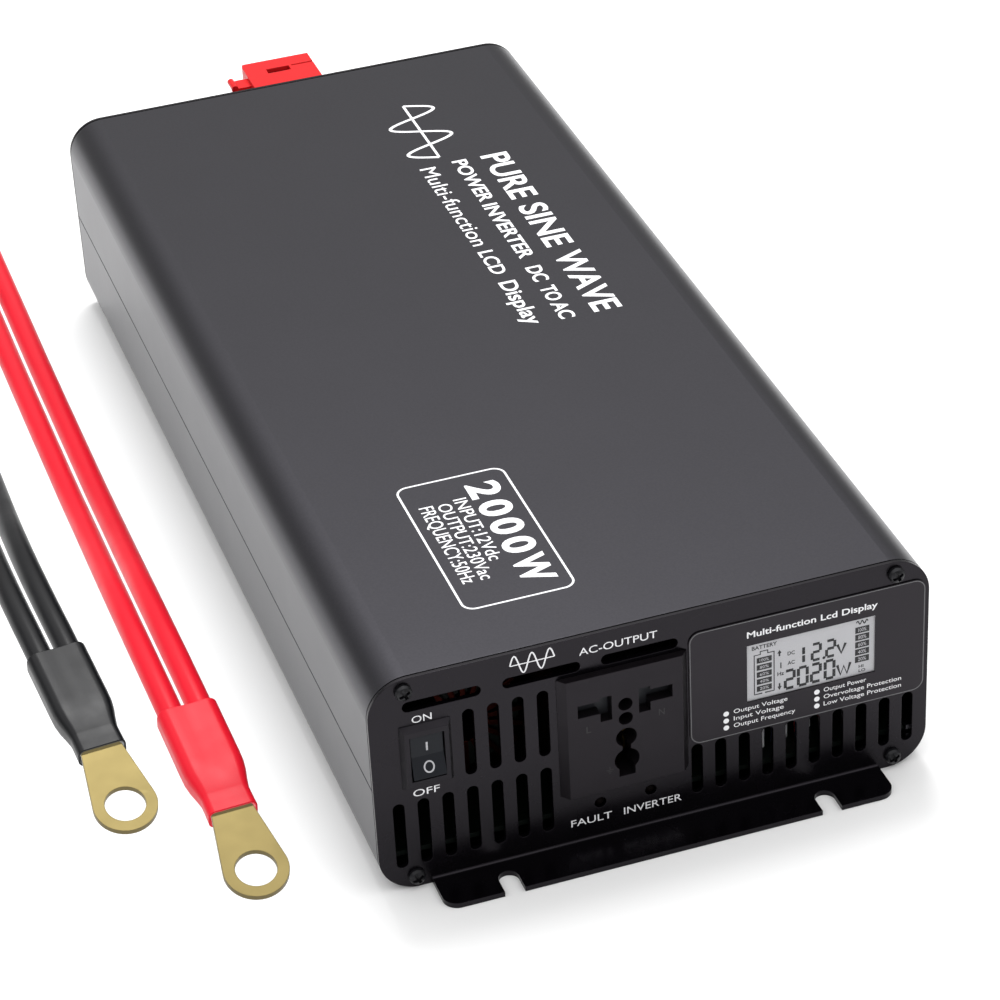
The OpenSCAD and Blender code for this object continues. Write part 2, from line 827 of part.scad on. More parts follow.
// The block of a cover, drawn in by the wall's thickness on every side for its hollow
module cover_block(inset) {
    half = cover_half - inset;
    far = terminal_d - inset;
    r = roll_r - inset;
    left_r = round_r[0] - inset;
    right_r = round_r[1] - inset;
    near = inset > 0 ? 0 : cover_y0;
    intersection() {
        translate([0, 0, -half]) linear_extrude(2 * half) {
            translate([-half, near]) square([2 * half, far - left_r - near]);
            translate([left_r - half, near]) square([2 * half - left_r - right_r, far - near]);
            translate([0, near]) square([half, far - right_r - near]);
            translate([left_r - half, far - left_r]) circle(left_r);
            translate([half - right_r, far - right_r]) circle(right_r);
        }
        rotate([90, 0, 90]) translate([0, 0, -half]) linear_extrude(2 * half) {
            translate([near, -half]) square([far - r - near, 2 * half]);
            translate([near, r - half]) square([far - near, 2 * (half - r)]);
            for (z = [r - half, half - r]) translate([far - r, z]) circle(r);
        }
    }
}

module terminal_cover() {
    translate([0, rear_y, 0]) difference() {
        union() {
            cover_block(0);
            // Finger tab with a raised lip, and the hinge barrel
            translate([-cover_half - 6, 13, 7.5]) cube([6.5, 6.5, 3.5]);
            translate([-cover_half - 6, 19.5, 11]) rotate([90, 0, 0]) cylinder(r = 1.2, h = 6.5);
            translate([hinge_x, hinge_y, knuckle_z[0]])
                cylinder(r = hinge_r, h = knuckle_z[1] - knuckle_z[0]);
            translate([cover_half - 0.5, hinge_y - 1.4, knuckle_z[0]])
                cube([hinge_x - cover_half + 0.5, 2.8, knuckle_z[1] - knuckle_z[0]]);
        }
        cover_block(cover_t);
        // Window and groove in the top, and the way out for the battery lead below
        translate([-4.9, 17.2, cover_half - 3]) cube([8.4, 3.4, 5]);
        translate([4.5, 20, cover_half - 0.6]) cube([cover_half, 0.8, 2]);
        translate([-8, 8.5, -cover_half - 1]) cube([16, 18, 5]);
        translate([hinge_x, hinge_y, knuckle_z[0] - 1])
            cylinder(r = hinge_pin_r + 0.05, h = knuckle_z[1] - knuckle_z[0] + 2);
    }
}

module red_terminal_cover() {
    color([0.9, 0.14, 0.12]) translate([0, 0, red_z]) terminal_cover();
}

module black_terminal_cover() {
    color([0.12, 0.12, 0.13]) translate([0, 0, black_z]) terminal_cover();
}

module cover_hinge_pins() {
    color("silver") for (z = [red_z, black_z]) translate([hinge_x, rear_y + hinge_y, z]) {
        translate([0, 0, lug_z[0][0]]) cylinder(r = hinge_pin_r, h = lug_z[1][1] - lug_z[0][0]);
        translate([0, 0, lug_z[1][1]]) cylinder(r = 1.7, h = 0.6);
    }
}

// ---------------------------------------------------------------- inside

module main_board() {
    color("darkgreen") translate([-board_half_w, board_y0, board_z])
        cube([2 * board_half_w, board_y1 - board_y0, board_t]);
}

module control_board() {
    color("darkgreen") translate([-50, -60.8, board_top]) cube([100, 1.6, 48]);
}

module transformer_cores() {
    leg = core_leg;
    window = (core_size[0] - 4 * leg) / 2;
    color([0.22, 0.22, 0.24]) for (p = transformer_places)
        translate([p[0], p[1], board_top]) along_y(-core_size[1] / 2, core_size[1] / 2) difference() {
            translate([-core_size[0] / 2, 0]) square([core_size[0], core_size[2]]);
            for (x = [leg - core_size[0] / 2, leg])
                translate([x, core_yoke]) square([window, core_size[2] - 2 * core_yoke]);
        }
}

module transformer_windings() {
    color([0.85, 0.7, 0.25]) for (p = transformer_places)
        translate([p[0], p[1], board_top + core_yoke]) linear_extrude(core_size[2] - 2 * core_yoke)
            difference() {
                rounded(coil_size[0], coil_size[1], 5);
                square([2 * core_leg, core_size[1]], center = true);
            }
}

// Upright ring cores, with their axes along Y, standing on their windings
module at_chokes() {
    for (p = choke_places)
        translate([p[0], p[1], board_top + choke_r[1] + choke_wire + 0.2]) rotate([90, 0, 0]) children();
}

module choke_cores() {
    color([0.25, 0.45, 0.3]) at_chokes() linear_extrude(choke_h, center = true) difference() {
        circle(choke_r[1]);
        circle(choke_r[0]);
    }
}

module choke_windings() {
    wide = choke_r[1] - choke_r[0] + 0.4;
    high = choke_h + 0.2;
    middle = (choke_r[0] + choke_r[1]) / 2;
    color([0.7, 0.3, 0.16]) at_chokes()
        for (i = [0 : choke_turns - 1]) rotate(i * 360 / choke_turns) translate([middle, 0, 0])
            rotate([90, 0, 0]) linear_extrude(choke_wire, center = true) difference() {
                square([wide + 2 * choke_wire, high + 2 * choke_wire], center = true);
                square([wide, high], center = true);
            }
}

// A capacitor can with a rolled groove near its foot
module can(r, h) {
    rotate_extrude()
        polygon([
            [0, 0], [r, 0], [r, 2.4], [r - 0.6, 3], [r, 3.6], [r, h - 0.8], [r - 0.8, h], [0, h]
        ]);
}

module input_capacitors() {
    color([0.12, 0.14, 0.22]) for (p = input_cap_places) translate([p[0], p[1], board_top]) can(9, 35);
}

module bus_capacitors() {
    color([0.12, 0.14, 0.22]) for (p = bus_cap_places) translate([p[0], p[1], board_top]) can(12.5, 45);
}

module film_capacitors() {
    color([0.75, 0.62, 0.15]) for (p = film_cap_places)
        translate([p[0] - 9, p[1] - 4, board_top]) cube([18, 8, 15]);
}

module heat_spreaders() {
    x0 = body_w / 2 - shell_t - spreader_t;
    color("silver") for (side = [0, 1]) mirror([side, 0, 0]) difference() {
        translate([x0, spreader_y[0], spreader_z[0]])
            cube([spreader_t, spreader_y[1] - spreader_y[0], spreader_z[1] - spreader_z[0]]);
        for (y = clamp_screw_y) translate([x0 - 1, y, 23]) rotate([0, 90, 0])
            cylinder(r = 1.3, h = spreader_t);
    }
}

module power_transistors() {
    x0 = body_w / 2 - shell_t - spreader_t - 4.5;
    color([0.1, 0.1, 0.11]) for (side = [0, 1]) mirror([side, 0, 0]) for (y = transistor_y) {
        translate([x0, y - 5, 15]) cube([4.5, 10, 14.6]);
        for (dy = [-2.5, 0, 2.5]) translate([x0 + 2, y + dy - 0.4, board_top]) cube([0.6, 0.8, 5]);
    }
}

module clamp_bars() {
    x0 = body_w / 2 - shell_t - spreader_t - 6.5;
    color("silver") for (side = [0, 1]) mirror([side, 0, 0]) difference() {
        translate([x0, -112, 19]) cube([2, 214, 8]);
        for (y = clamp_screw_y) translate([x0 - 1, y, 23]) rotate([0, 90, 0]) cylinder(r = 1.6, h = 4);
    }
}

module clamp_screws() {
    x0 = body_w / 2 - shell_t - spreader_t - 6.5;
    color([0.3, 0.3, 0.32]) for (side = [0, 1]) mirror([side, 0, 0]) for (y = clamp_screw_y)
        translate([x0, y, 23]) rotate([0, -90, 0]) pan_screw(2.8, 2, 1.25, 11, 3);
}

module fuses() {
    color([0.85, 0.75, 0.1]) for (x = fuse_x) translate([x, 124, board_top]) {
        translate([-2.4, -9.5, 5]) cube([4.8, 19, 9]);
        for (y = [-7.5, 2.5]) translate([-0.4, y, 0]) cube([0.8, 5, 6]);
    }
}

// Each bar goes from its stud along Y and then down to the board
module bus_bar(z, tongue_z, up, end_y) {
    y1 = rear_y - 2 * bar_t;
    low = up ? z - 9 : tongue_z;
    high = up ? tongue_z + bar_t : z + 9;
    difference() {
        rotate([90, 0, 90]) translate([0, 0, -8]) linear_extrude(16) {
            translate([y1 - bar_t, low]) square([bar_t, high - low]);
            translate([end_y, tongue_z]) square([y1 - end_y, bar_t]);
            translate([end_y, board_top]) square([bar_t, tongue_z - board_top + bar_t]);
        }
        translate([0, y1 + 1, z]) rotate([90, 0, 0]) cylinder(r = stud_d / 2 + 0.1, h = bar_t + 2);
    }
}

module bus_bars() {
    color([0.8, 0.5, 0.25]) {
        bus_bar(red_z, red_z - nut_r - 0.3 - bar_t, false, 124);
        bus_bar(black_z, black_z + nut_r + 0.3, true, 132);
    }
}

// An insulated wire from a start point back along +Y, round a bend and down to the board
module bent_wire(start, back, bend, r) {
    translate(start) rotate([-90, 0, 0]) cylinder(r = r, h = back, $fn = 24);
    translate([start[0], start[1] + back, start[2] - bend]) rotate([0, 90, 0]) rotate([0, 0, 90])
        rotate_extrude(angle = 90, $fn = 24) translate([bend, 0]) circle(r, $fn = 24);
    translate([start[0], start[1] + back + bend, board_top])
        cylinder(r = r, h = start[2] - bend - board_top, $fn = 24);
}

module panel_wires() {
    tail_y = front_y + 34;
    tab_y = front_y + switch_body[2] + 8;
    display_y = front_y + panel_t + lcd_back[2] + board_t;
    color([0.85, 0.85, 0.87]) {
        for (x = [-contact_x, contact_x])
            bent_wire([socket_x + x, tail_y, socket_z + contact_z], 6, 6, 1.7);
        bent_wire([socket_x, tail_y, socket_z + earth_contact_z], 6, 6, 1.7);
        bent_wire([switch_x, tab_y, switch_z - 5], 2, 5, 1.2);
        bent_wire([switch_x, tab_y, switch_z + 5], 6, 5, 1.2);
        for (i = [0 : 4]) bent_wire([36 + 4 * i, display_y, 29.5], 1, 3 + i, 0.7);
    }
}

// ---------------------------------------------------------------- battery leads

function unit(v) = v / norm(v);
function lead_middle(ring) = ring[1] + lead_l / 2;
function whole_route(half, ring) = concat(
    half, [for (i = [len(half) - 1 : -1 : 0]) [half[i][0], 2 * lead_middle(ring) - half[i][1], half[i][2]]]
);
function route_ahead(path, i) = unit(path[min(i + 1, len(path) - 1)] - path[max(i - 1, 0)]);
function route_side(path, i) = unit(cross(route_ahead(path, i), [0, 0, 1]));
function wire_ring(path, i, aside) = let (
    side = route_side(path, i),
    up = cross(side, route_ahead(path, i))
) [for (k = [0 : wire_sides - 1]) let (a = 360 * k / wire_sides)
    path[i] + aside * side + wire_d / 2 * (cos(a) * side + sin(a) * up)];

// One wire, swept along a route and moved aside from it
module wire(path, aside) {
    n = len(path);
    s = wire_sides;
    points = [for (i = [0 : n - 1]) each wire_ring(path, i, aside)];
    walls = [for (i = [0 : n - 2], k = [0 : s - 1])
        [i * s + k, (i + 1) * s + k, (i + 1) * s + (k + 1) % s, i * s + (k + 1) % s]];
    caps = [[for (k = [0 : s - 1]) k], [for (k = [s - 1 : -1 : 0]) (n - 1) * s + k]];
    polyhedron(points, concat(walls, caps));
}

module red_wire_outer() {
    color([0.9, 0.1, 0.12]) wire(whole_route(red_route, red_ring), -wire_gap / 2);
}

module red_wire_inner() {
    color([0.9, 0.1, 0.12]) wire(whole_route(red_route, red_ring), wire_gap / 2);
}

module black_wire_outer() {
    color([0.13, 0.13, 0.14]) wire(whole_route(black_route, black_ring), -wire_gap / 2);
}

module black_wire_inner() {
    color([0.13, 0.13, 0.14]) wire(whole_route(black_route, black_ring), wire_gap / 2);
}

// Puts a lug or a sleeve at both ends of a lead
module at_lead_ends(ring, yaw) {
    translate(ring) rotate(yaw) children();
    translate([0, 2 * lead_middle(ring), 0]) mirror([0, 1, 0]) translate(ring) rotate(yaw) children();
}

// Where the flat tongue ends and the barrel and the sleeve begin, at their own slope
module at_barrel() {
    translate([0, tongue_l * cos(lug_pitch), tongue_l * sin(lug_pitch)]) rotate([sleeve_pitch, 0, 0])
        children();
}

// The tongue's sides meet the ring as tangents
module ring_lug() {
    neck = [lug_neck_w / 2, tongue_l];
    turn = atan2(neck[0], neck[1]) + acos(lug_ring_r / norm(neck));
    meet = lug_ring_r * [sin(turn), cos(turn)];
    rotate([lug_pitch, 0, 0]) linear_extrude(lug_t, center = true) difference() {
        union() {
            circle(lug_ring_r);
            polygon([meet, neck, [-neck[0], neck[1]], [-meet[0], meet[1]], [0, 0]]);
        }
        circle(lug_hole_d / 2);
    }
    at_barrel() along_y(-0.6, barrel[1]) rounded(barrel[0], barrel[2], 2.6);
}

module lead_lugs() {
    color([0.75, 0.65, 0.4]) {
        at_lead_ends(red_ring, red_yaw) ring_lug();
        at_lead_ends(black_ring, black_yaw) ring_lug();
    }
}

// A shrunk sleeve: flat over the tongue and the barrel, and fuller over the two wires
module lead_sleeve() {
    at_barrel() difference() {
        union() {
            hull() {
                along_y(sleeve_at[0], sleeve_at[0] + 0.1)
                    rounded(sleeve_mouth[0], sleeve_mouth[1], 3, $fn = 32);
                along_y(sleeve_at[1] - 0.1, sleeve_at[1])
                    rounded(sleeve_waist[0], sleeve_waist[1], 3, $fn = 32);
            }
            hull() {
                along_y(sleeve_at[1] - 0.1, sleeve_at[1])
                    rounded(sleeve_waist[0], sleeve_waist[1], 3, $fn = 32);
                along_y(sleeve_at[2] - 0.1, sleeve_at[2])
                    rounded(sleeve_rear[0], sleeve_rear[1], 4, $fn = 32);
            }
            along_y(sleeve_at[2], sleeve_at[3]) rounded(sleeve_rear[0], sleeve_rear[1], 4);
        }
        along_y(sleeve_at[0] - 1, barrel[1] + 0.3) square([barrel[0] + 0.2, barrel[2] + 0.2], center = true);
        for (x = [-wire_gap / 2, wire_gap / 2])
            along_y(barrel[1], sleeve_at[3] + 1) translate([x, 0]) circle(wire_d / 2 + 0.1);
    }
}

module red_sleeves() {
    color([0.85, 0.12, 0.13]) at_lead_ends(red_ring, red_yaw) lead_sleeve();
}

module black_sleeves() {
    color([0.1, 0.1, 0.11]) at_lead_ends(black_ring, black_yaw) lead_sleeve();
}

top_shell();
bottom_shell();
front_panel();
rear_panel();
front_panel_screws();
rear_panel_screws();
display_label();
display_window();
display_lcd();
display_board();
display_standoffs();
status_leds();
led_board();
switch_housing();
switch_rocker();
switch_tabs();
socket_face();
socket_body();
left_shutter();
right_shutter();
shutter_springs();
live_neutral_contacts();
earth_contact();
left_fan_frame();
right_fan_frame();
left_fan_rotor();
right_fan_rotor();
fan_guards();
fan_screws();
red_terminal_base();
black_terminal_base();
terminal_studs();
terminal_nuts();
terminal_washers();
red_terminal_cover();
black_terminal_cover();
cover_hinge_pins();
main_board();
control_board();
transformer_cores();
transformer_windings();
choke_cores();
choke_windings();
input_capacitors();
bus_capacitors();
film_capacitors();
heat_spreaders();
power_transistors();
clamp_bars();
clamp_screws();
fuses();
bus_bars();
panel_wires();
red_wire_outer();
red_wire_inner();
black_wire_outer();
black_wire_inner();
lead_lugs();
red_sleeves();
black_sleeves();
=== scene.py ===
# Power inverter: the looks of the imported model. Camera, battery leads, prints, display,
# materials, floor and light. Metres throughout; MM turns the part's millimetres into metres.
import json
import math

import bmesh
import bpy
from mathutils import Matrix, Vector


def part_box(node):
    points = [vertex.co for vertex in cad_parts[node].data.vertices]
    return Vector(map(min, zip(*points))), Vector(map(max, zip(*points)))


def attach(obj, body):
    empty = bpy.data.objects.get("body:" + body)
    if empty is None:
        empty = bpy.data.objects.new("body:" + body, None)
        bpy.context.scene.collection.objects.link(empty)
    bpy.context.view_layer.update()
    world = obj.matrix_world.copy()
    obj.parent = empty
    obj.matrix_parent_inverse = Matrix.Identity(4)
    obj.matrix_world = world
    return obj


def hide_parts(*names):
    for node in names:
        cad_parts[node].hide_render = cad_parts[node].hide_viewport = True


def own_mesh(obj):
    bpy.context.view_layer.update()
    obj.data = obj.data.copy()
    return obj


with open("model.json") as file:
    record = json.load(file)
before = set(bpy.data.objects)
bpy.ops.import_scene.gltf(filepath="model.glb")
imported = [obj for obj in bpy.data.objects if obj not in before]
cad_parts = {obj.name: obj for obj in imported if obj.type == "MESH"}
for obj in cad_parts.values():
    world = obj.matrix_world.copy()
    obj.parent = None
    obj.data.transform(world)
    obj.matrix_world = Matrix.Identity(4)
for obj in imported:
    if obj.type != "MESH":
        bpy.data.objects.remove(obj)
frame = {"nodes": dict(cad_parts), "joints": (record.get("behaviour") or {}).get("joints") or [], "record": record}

MM = 0.001
scene = bpy.context.scene
nodes = frame["nodes"]
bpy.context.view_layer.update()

# ---------------------------------------------------------------- places from the frame

PANEL_T = 1.6
front_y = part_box("front_panel")[1].y - PANEL_T * MM
case_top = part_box("top_shell")[1].z
label_low, label_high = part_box("display_label")
lcd_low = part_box("display_lcd")[0]
joints = {j["name"]: j for j in frame["joints"]}
rocker_pivot = Vector(joints["power_rocker"]["pos_m"])


# ---------------------------------------------------------------- camera

CAMERA_PLACE = Vector((-0.26884, -0.92319, 0.631))
CAMERA_AZIMUTH = 17.12
CAMERA_DOWN = 33.442
CAMERA_ROLL = -3.147
CAMERA_LENS = 126.11


def make_camera():
    """The camera of the photograph: place in metres, turns in degrees, lens in millimetres."""
    data = bpy.data.cameras.new("camera")
    data.lens = CAMERA_LENS
    data.sensor_width = 36
    data.clip_start = 0.05
    data.clip_end = 50
    camera = bpy.data.objects.new("camera", data)
    scene.collection.objects.link(camera)
    turn = (
        Matrix.Rotation(math.radians(-CAMERA_AZIMUTH), 4, "Z")
        @ Matrix.Rotation(math.radians(90 - CAMERA_DOWN), 4, "X")
        @ Matrix.Rotation(math.radians(CAMERA_ROLL), 4, "Z")
    )
    camera.matrix_world = Matrix.Translation(CAMERA_PLACE) @ turn
    scene.camera = camera


make_camera()

# ---------------------------------------------------------------- battery leads

WIRE_D = 7.8
WIRE_GAP = 8.8
LEAD_L = 500
TONGUE_L = 21
LUG_PITCH = 18
SLEEVE_PITCH = 10
LEADS = {
    "red": {
        "ring": (-113.8, -167.5, 3.8),
        "yaw": 3,
        "route": [
            (-115.7, -130.5, 13.3), (-116.5, -115.5, 15.9), (-117.3, -100.5, 18.6),
            (-117.9, -83.5, 20.2), (-118.1, -63.5, 20), (-117.7, -41.5, 17.5),
            (-116.8, -17.5, 13), (-115.8, 8.5, 8.3), (-115.2, 37.5, 4.9), (-115, 67.5, 3.9),
        ],
    },
    "black": {
        "ring": (-141.3, -125, 3.8),
        "yaw": 5,
        "route": [
            (-144.5, -88, 13.3), (-145.8, -73, 15.9), (-147.1, -58, 18.6), (-148.3, -41, 20.2),
            (-149, -21, 20), (-148.9, 1, 17.5), (-148.1, 25, 13), (-147, 51, 8.3),
            (-146.2, 80, 4.9), (-145.8, 110, 3.9),
        ],
    },
}


def whole_route(lead):
    """The lead's route in metres: the front half, then its mirror image at the rear."""
    middle = lead["ring"][1] + LEAD_L / 2
    half = lead["route"]
    rear = [(x, 2 * middle - y, z) for x, y, z in reversed(half)]
    return [Vector(p) * MM for p in half + rear]


def moved_aside(route, aside):
    """The route of one wire of a pair, beside the pair's own route."""
    moved = []
    for i, point in enumerate(route):
        ahead = route[min(i + 1, len(route) - 1)] - route[max(i - 1, 0)]
        side = ahead.cross(Vector((0, 0, 1))).normalized()
        moved.append(point + side * aside)
    return moved


def make_wire(name, points):
    """A round wire along the points. Each knot's radius is the wire's, so the depth is 1."""
    curve = bpy.data.curves.new(name, "CURVE")
    curve.dimensions = "3D"
    curve.bevel_depth = 1
    curve.bevel_resolution = 7
    curve.resolution_u = 10
    curve.use_fill_caps = True
    spline = curve.splines.new("BEZIER")
    spline.bezier_points.add(len(points) - 1)
    for knot, point in zip(spline.bezier_points, points):
        knot.co = point
        knot.radius = WIRE_D * MM / 2
        knot.handle_left_type = knot.handle_right_type = "AUTO"
    wire = bpy.data.objects.new(name, curve)
    scene.collection.objects.link(wire)
    return wire


def lead_end(lead, rear):
    """The place of a sleeve and barrel: from their own axes, with +Y along the wires."""
    pitch = math.radians(LUG_PITCH)
    tongue = Vector((0, TONGUE_L * math.cos(pitch), TONGUE_L * math.sin(pitch)))
    place = (
        Matrix.Translation(Vector(lead["ring"]))
        @ Matrix.Rotation(math.radians(lead["yaw"]), 4, "Z")
        @ Matrix.Translation(tongue)
        @ Matrix.Rotation(math.radians(SLEEVE_PITCH), 4, "X")
    )
    if rear:
        middle = lead["ring"][1] + LEAD_L / 2
        flip = Matrix.Diagonal((1, -1, 1, 1))
        flip.translation = Vector((0, 2 * middle, 0))
        place = flip @ place
    return Matrix.Scale(MM, 4) @ place


# A shrunk sleeve: distance along it, half width, half height and corner radius, in millimetres
SLEEVE_STATIONS = [
    (-1.2, 7.35, 3.3, 2.2), (-1.0, 7.35, 3.3, 2.2), (2, 7.3, 3.3, 2.2), (5.5, 7.25, 3.35, 2.2),
    (6.2, 7.3, 3.5, 2.3), (9, 7.8, 3.9, 2.6), (12.5, 8.6, 4.4, 3.0), (16, 9.1, 4.7, 3.3),
    (20, 9.2, 4.8, 3.4), (28, 9.2, 4.8, 3.4), (38, 9.2, 4.8, 3.4), (40.6, 9.2, 4.8, 3.4),
    (40.8, 9.2, 4.8, 3.4),
]
SLEEVE_SKIN = 0.6
# The wide faces sag by this much between the two wires, past the part over the barrel
SLEEVE_DIP = 0.35
SLEEVE_FLAT = 8
SLEEVE_RISE = 10


def rounded_ring(half_w, half_h, radius, per_corner=10, along=6, dip=0.0):
    """Points round a flat tube's section, with its long faces dipped a little in the middle."""
    ring = []
    corners = [(1, 1, 0), (-1, 1, 90), (-1, -1, 180), (1, -1, 270)]
    for sx, sz, start in corners:
        cx, cz = sx * (half_w - radius), sz * (half_h - radius)
        for i in range(per_corner + 1):
            a = math.radians(start + 90 * i / per_corner)
            ring.append((cx + radius * math.cos(a), cz + radius * math.sin(a)))
        if sx == sz:
            for i in range(1, along):
                x = sx * (half_w - radius) * (1 - 2 * i / along)
                sag = dip * math.cos(math.pi * x / (2 * (half_w - radius))) ** 2
                ring.append((x, sz * (half_h - sag)))
    return ring


def make_sleeve(name, place):
    """A thin open tube: out along the outer stations and back along the inner ones."""
    mesh = bmesh.new()
    loops = []
    for inset, stations in ((0, SLEEVE_STATIONS), (SLEEVE_SKIN, reversed(SLEEVE_STATIONS))):
        for y, half_w, half_h, radius in stations:
            dip = SLEEVE_DIP * min(1, max(0, (y - SLEEVE_FLAT) / SLEEVE_RISE))
            ring = rounded_ring(half_w - inset, half_h - inset, radius - inset, dip=dip)
            loops.append([mesh.verts.new(place @ Vector((x, y, z))) for x, z in ring])
    count = len(loops[0])
    for i, loop in enumerate(loops):
        after = loops[(i + 1) % len(loops)]
        for k in range(count):
            mesh.faces.new((loop[k], loop[(k + 1) % count], after[(k + 1) % count], after[k]))
    bmesh.ops.recalc_face_normals(mesh, faces=mesh.faces)
    return finished(mesh, name, smooth=True)


def finished(mesh, name, smooth=False):
    """Turns a bmesh into an object of the scene."""
    data = bpy.data.meshes.new(name)
    mesh.to_mesh(data)
    mesh.free()
    for face in data.polygons:
        face.use_smooth = smooth
    piece = bpy.data.objects.new(name, data)
    scene.collection.objects.link(piece)
    return piece


def make_leads():
    """Two wires and two sleeves for each lead."""
    made = []
    for colour, lead in LEADS.items():
        route = whole_route(lead)
        wires = {
            "outer": make_wire(colour + "_lead_outer", moved_aside(route, -WIRE_GAP * MM / 2)),
            "inner": make_wire(colour + "_lead_inner", moved_aside(route, WIRE_GAP * MM / 2)),
        }
        sleeves = {
            "outer": make_sleeve(colour + "_sleeve_front", lead_end(lead, rear=False)),
            "inner": make_sleeve(colour + "_sleeve_rear", lead_end(lead, rear=True)),
        }
        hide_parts(colour + "_sleeves")
        for side, wire in wires.items():
            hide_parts(colour + "_wire_" + side)
            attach(wire, "case")
            made.append((wire, colour))
        for sleeve in sleeves.values():
            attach(sleeve, "case")
            made.append((sleeve, colour))
    return made


lead_pieces = make_leads()

# ---------------------------------------------------------------- shutter springs

SPRING_WIRE_D = 0.36
SPRING_TURNS = 13


def make_coil(name, foot, radius, height, turns, wire_d):
    """A coil spring that stands on foot: a round wire swept up a helix, closed at both ends."""
    mesh = bmesh.new()
    per_turn, sides = 20, 8
    steps = turns * per_turn
    rings = []
    for i in range(steps + 1):
        a = 2 * math.pi * i / per_turn
        out = Vector((math.cos(a), math.sin(a), 0))
        centre = foot + out * radius + Vector((0, 0, wire_d / 2 + (height - wire_d) * i / steps))
        ring = []
        for k in range(sides):
            b = 2 * math.pi * k / sides
            off = out * math.cos(b) + Vector((0, 0, math.sin(b)))
            ring.append(mesh.verts.new(centre + off * wire_d / 2))
        rings.append(ring)
    for ring, after in zip(rings, rings[1:]):
        for k in range(sides):
            mesh.faces.new((ring[k], ring[(k + 1) % sides], after[(k + 1) % sides], after[k]))
    mesh.faces.new(rings[0])
    mesh.faces.new(rings[-1])
    bmesh.ops.recalc_face_normals(mesh, faces=mesh.faces)
    return finished(mesh, name, smooth=True)


def make_shutter_springs():
    """One coil below each shutter."""
    low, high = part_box("shutter_springs")
    outer = (high.y - low.y) / 2
    height = high.z - low.z
    wire_d = SPRING_WIRE_D * MM
    middle_y = (low.y + high.y) / 2
    made = []
    for side, x in (("left", low.x + outer), ("right", high.x - outer)):
        foot = Vector((x, middle_y, low.z))
        spring = make_coil(
            side + "_shutter_spring", foot, outer - wire_d / 2, height, SPRING_TURNS, wire_d
        )
        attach(spring, "case")
        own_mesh(spring)
        made.append(spring)
    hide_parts("shutter_springs")
    return made


shutter_springs = make_shutter_springs()

# ---------------------------------------------------------------- prints

# A print is drawn flat, in millimetres: u to the right, v up, w out of the surface
FRONT = Matrix(((1, 0, 0, 0), (0, 0, -1, front_y / MM), (0, 1, 0, 0), (0, 0, 0, 1)))
TOP = Matrix(((0, 1, 0, 0), (-1, 0, 0, front_y / MM), (0, 0, 1, case_top / MM), (0, 0, 0, 1)))


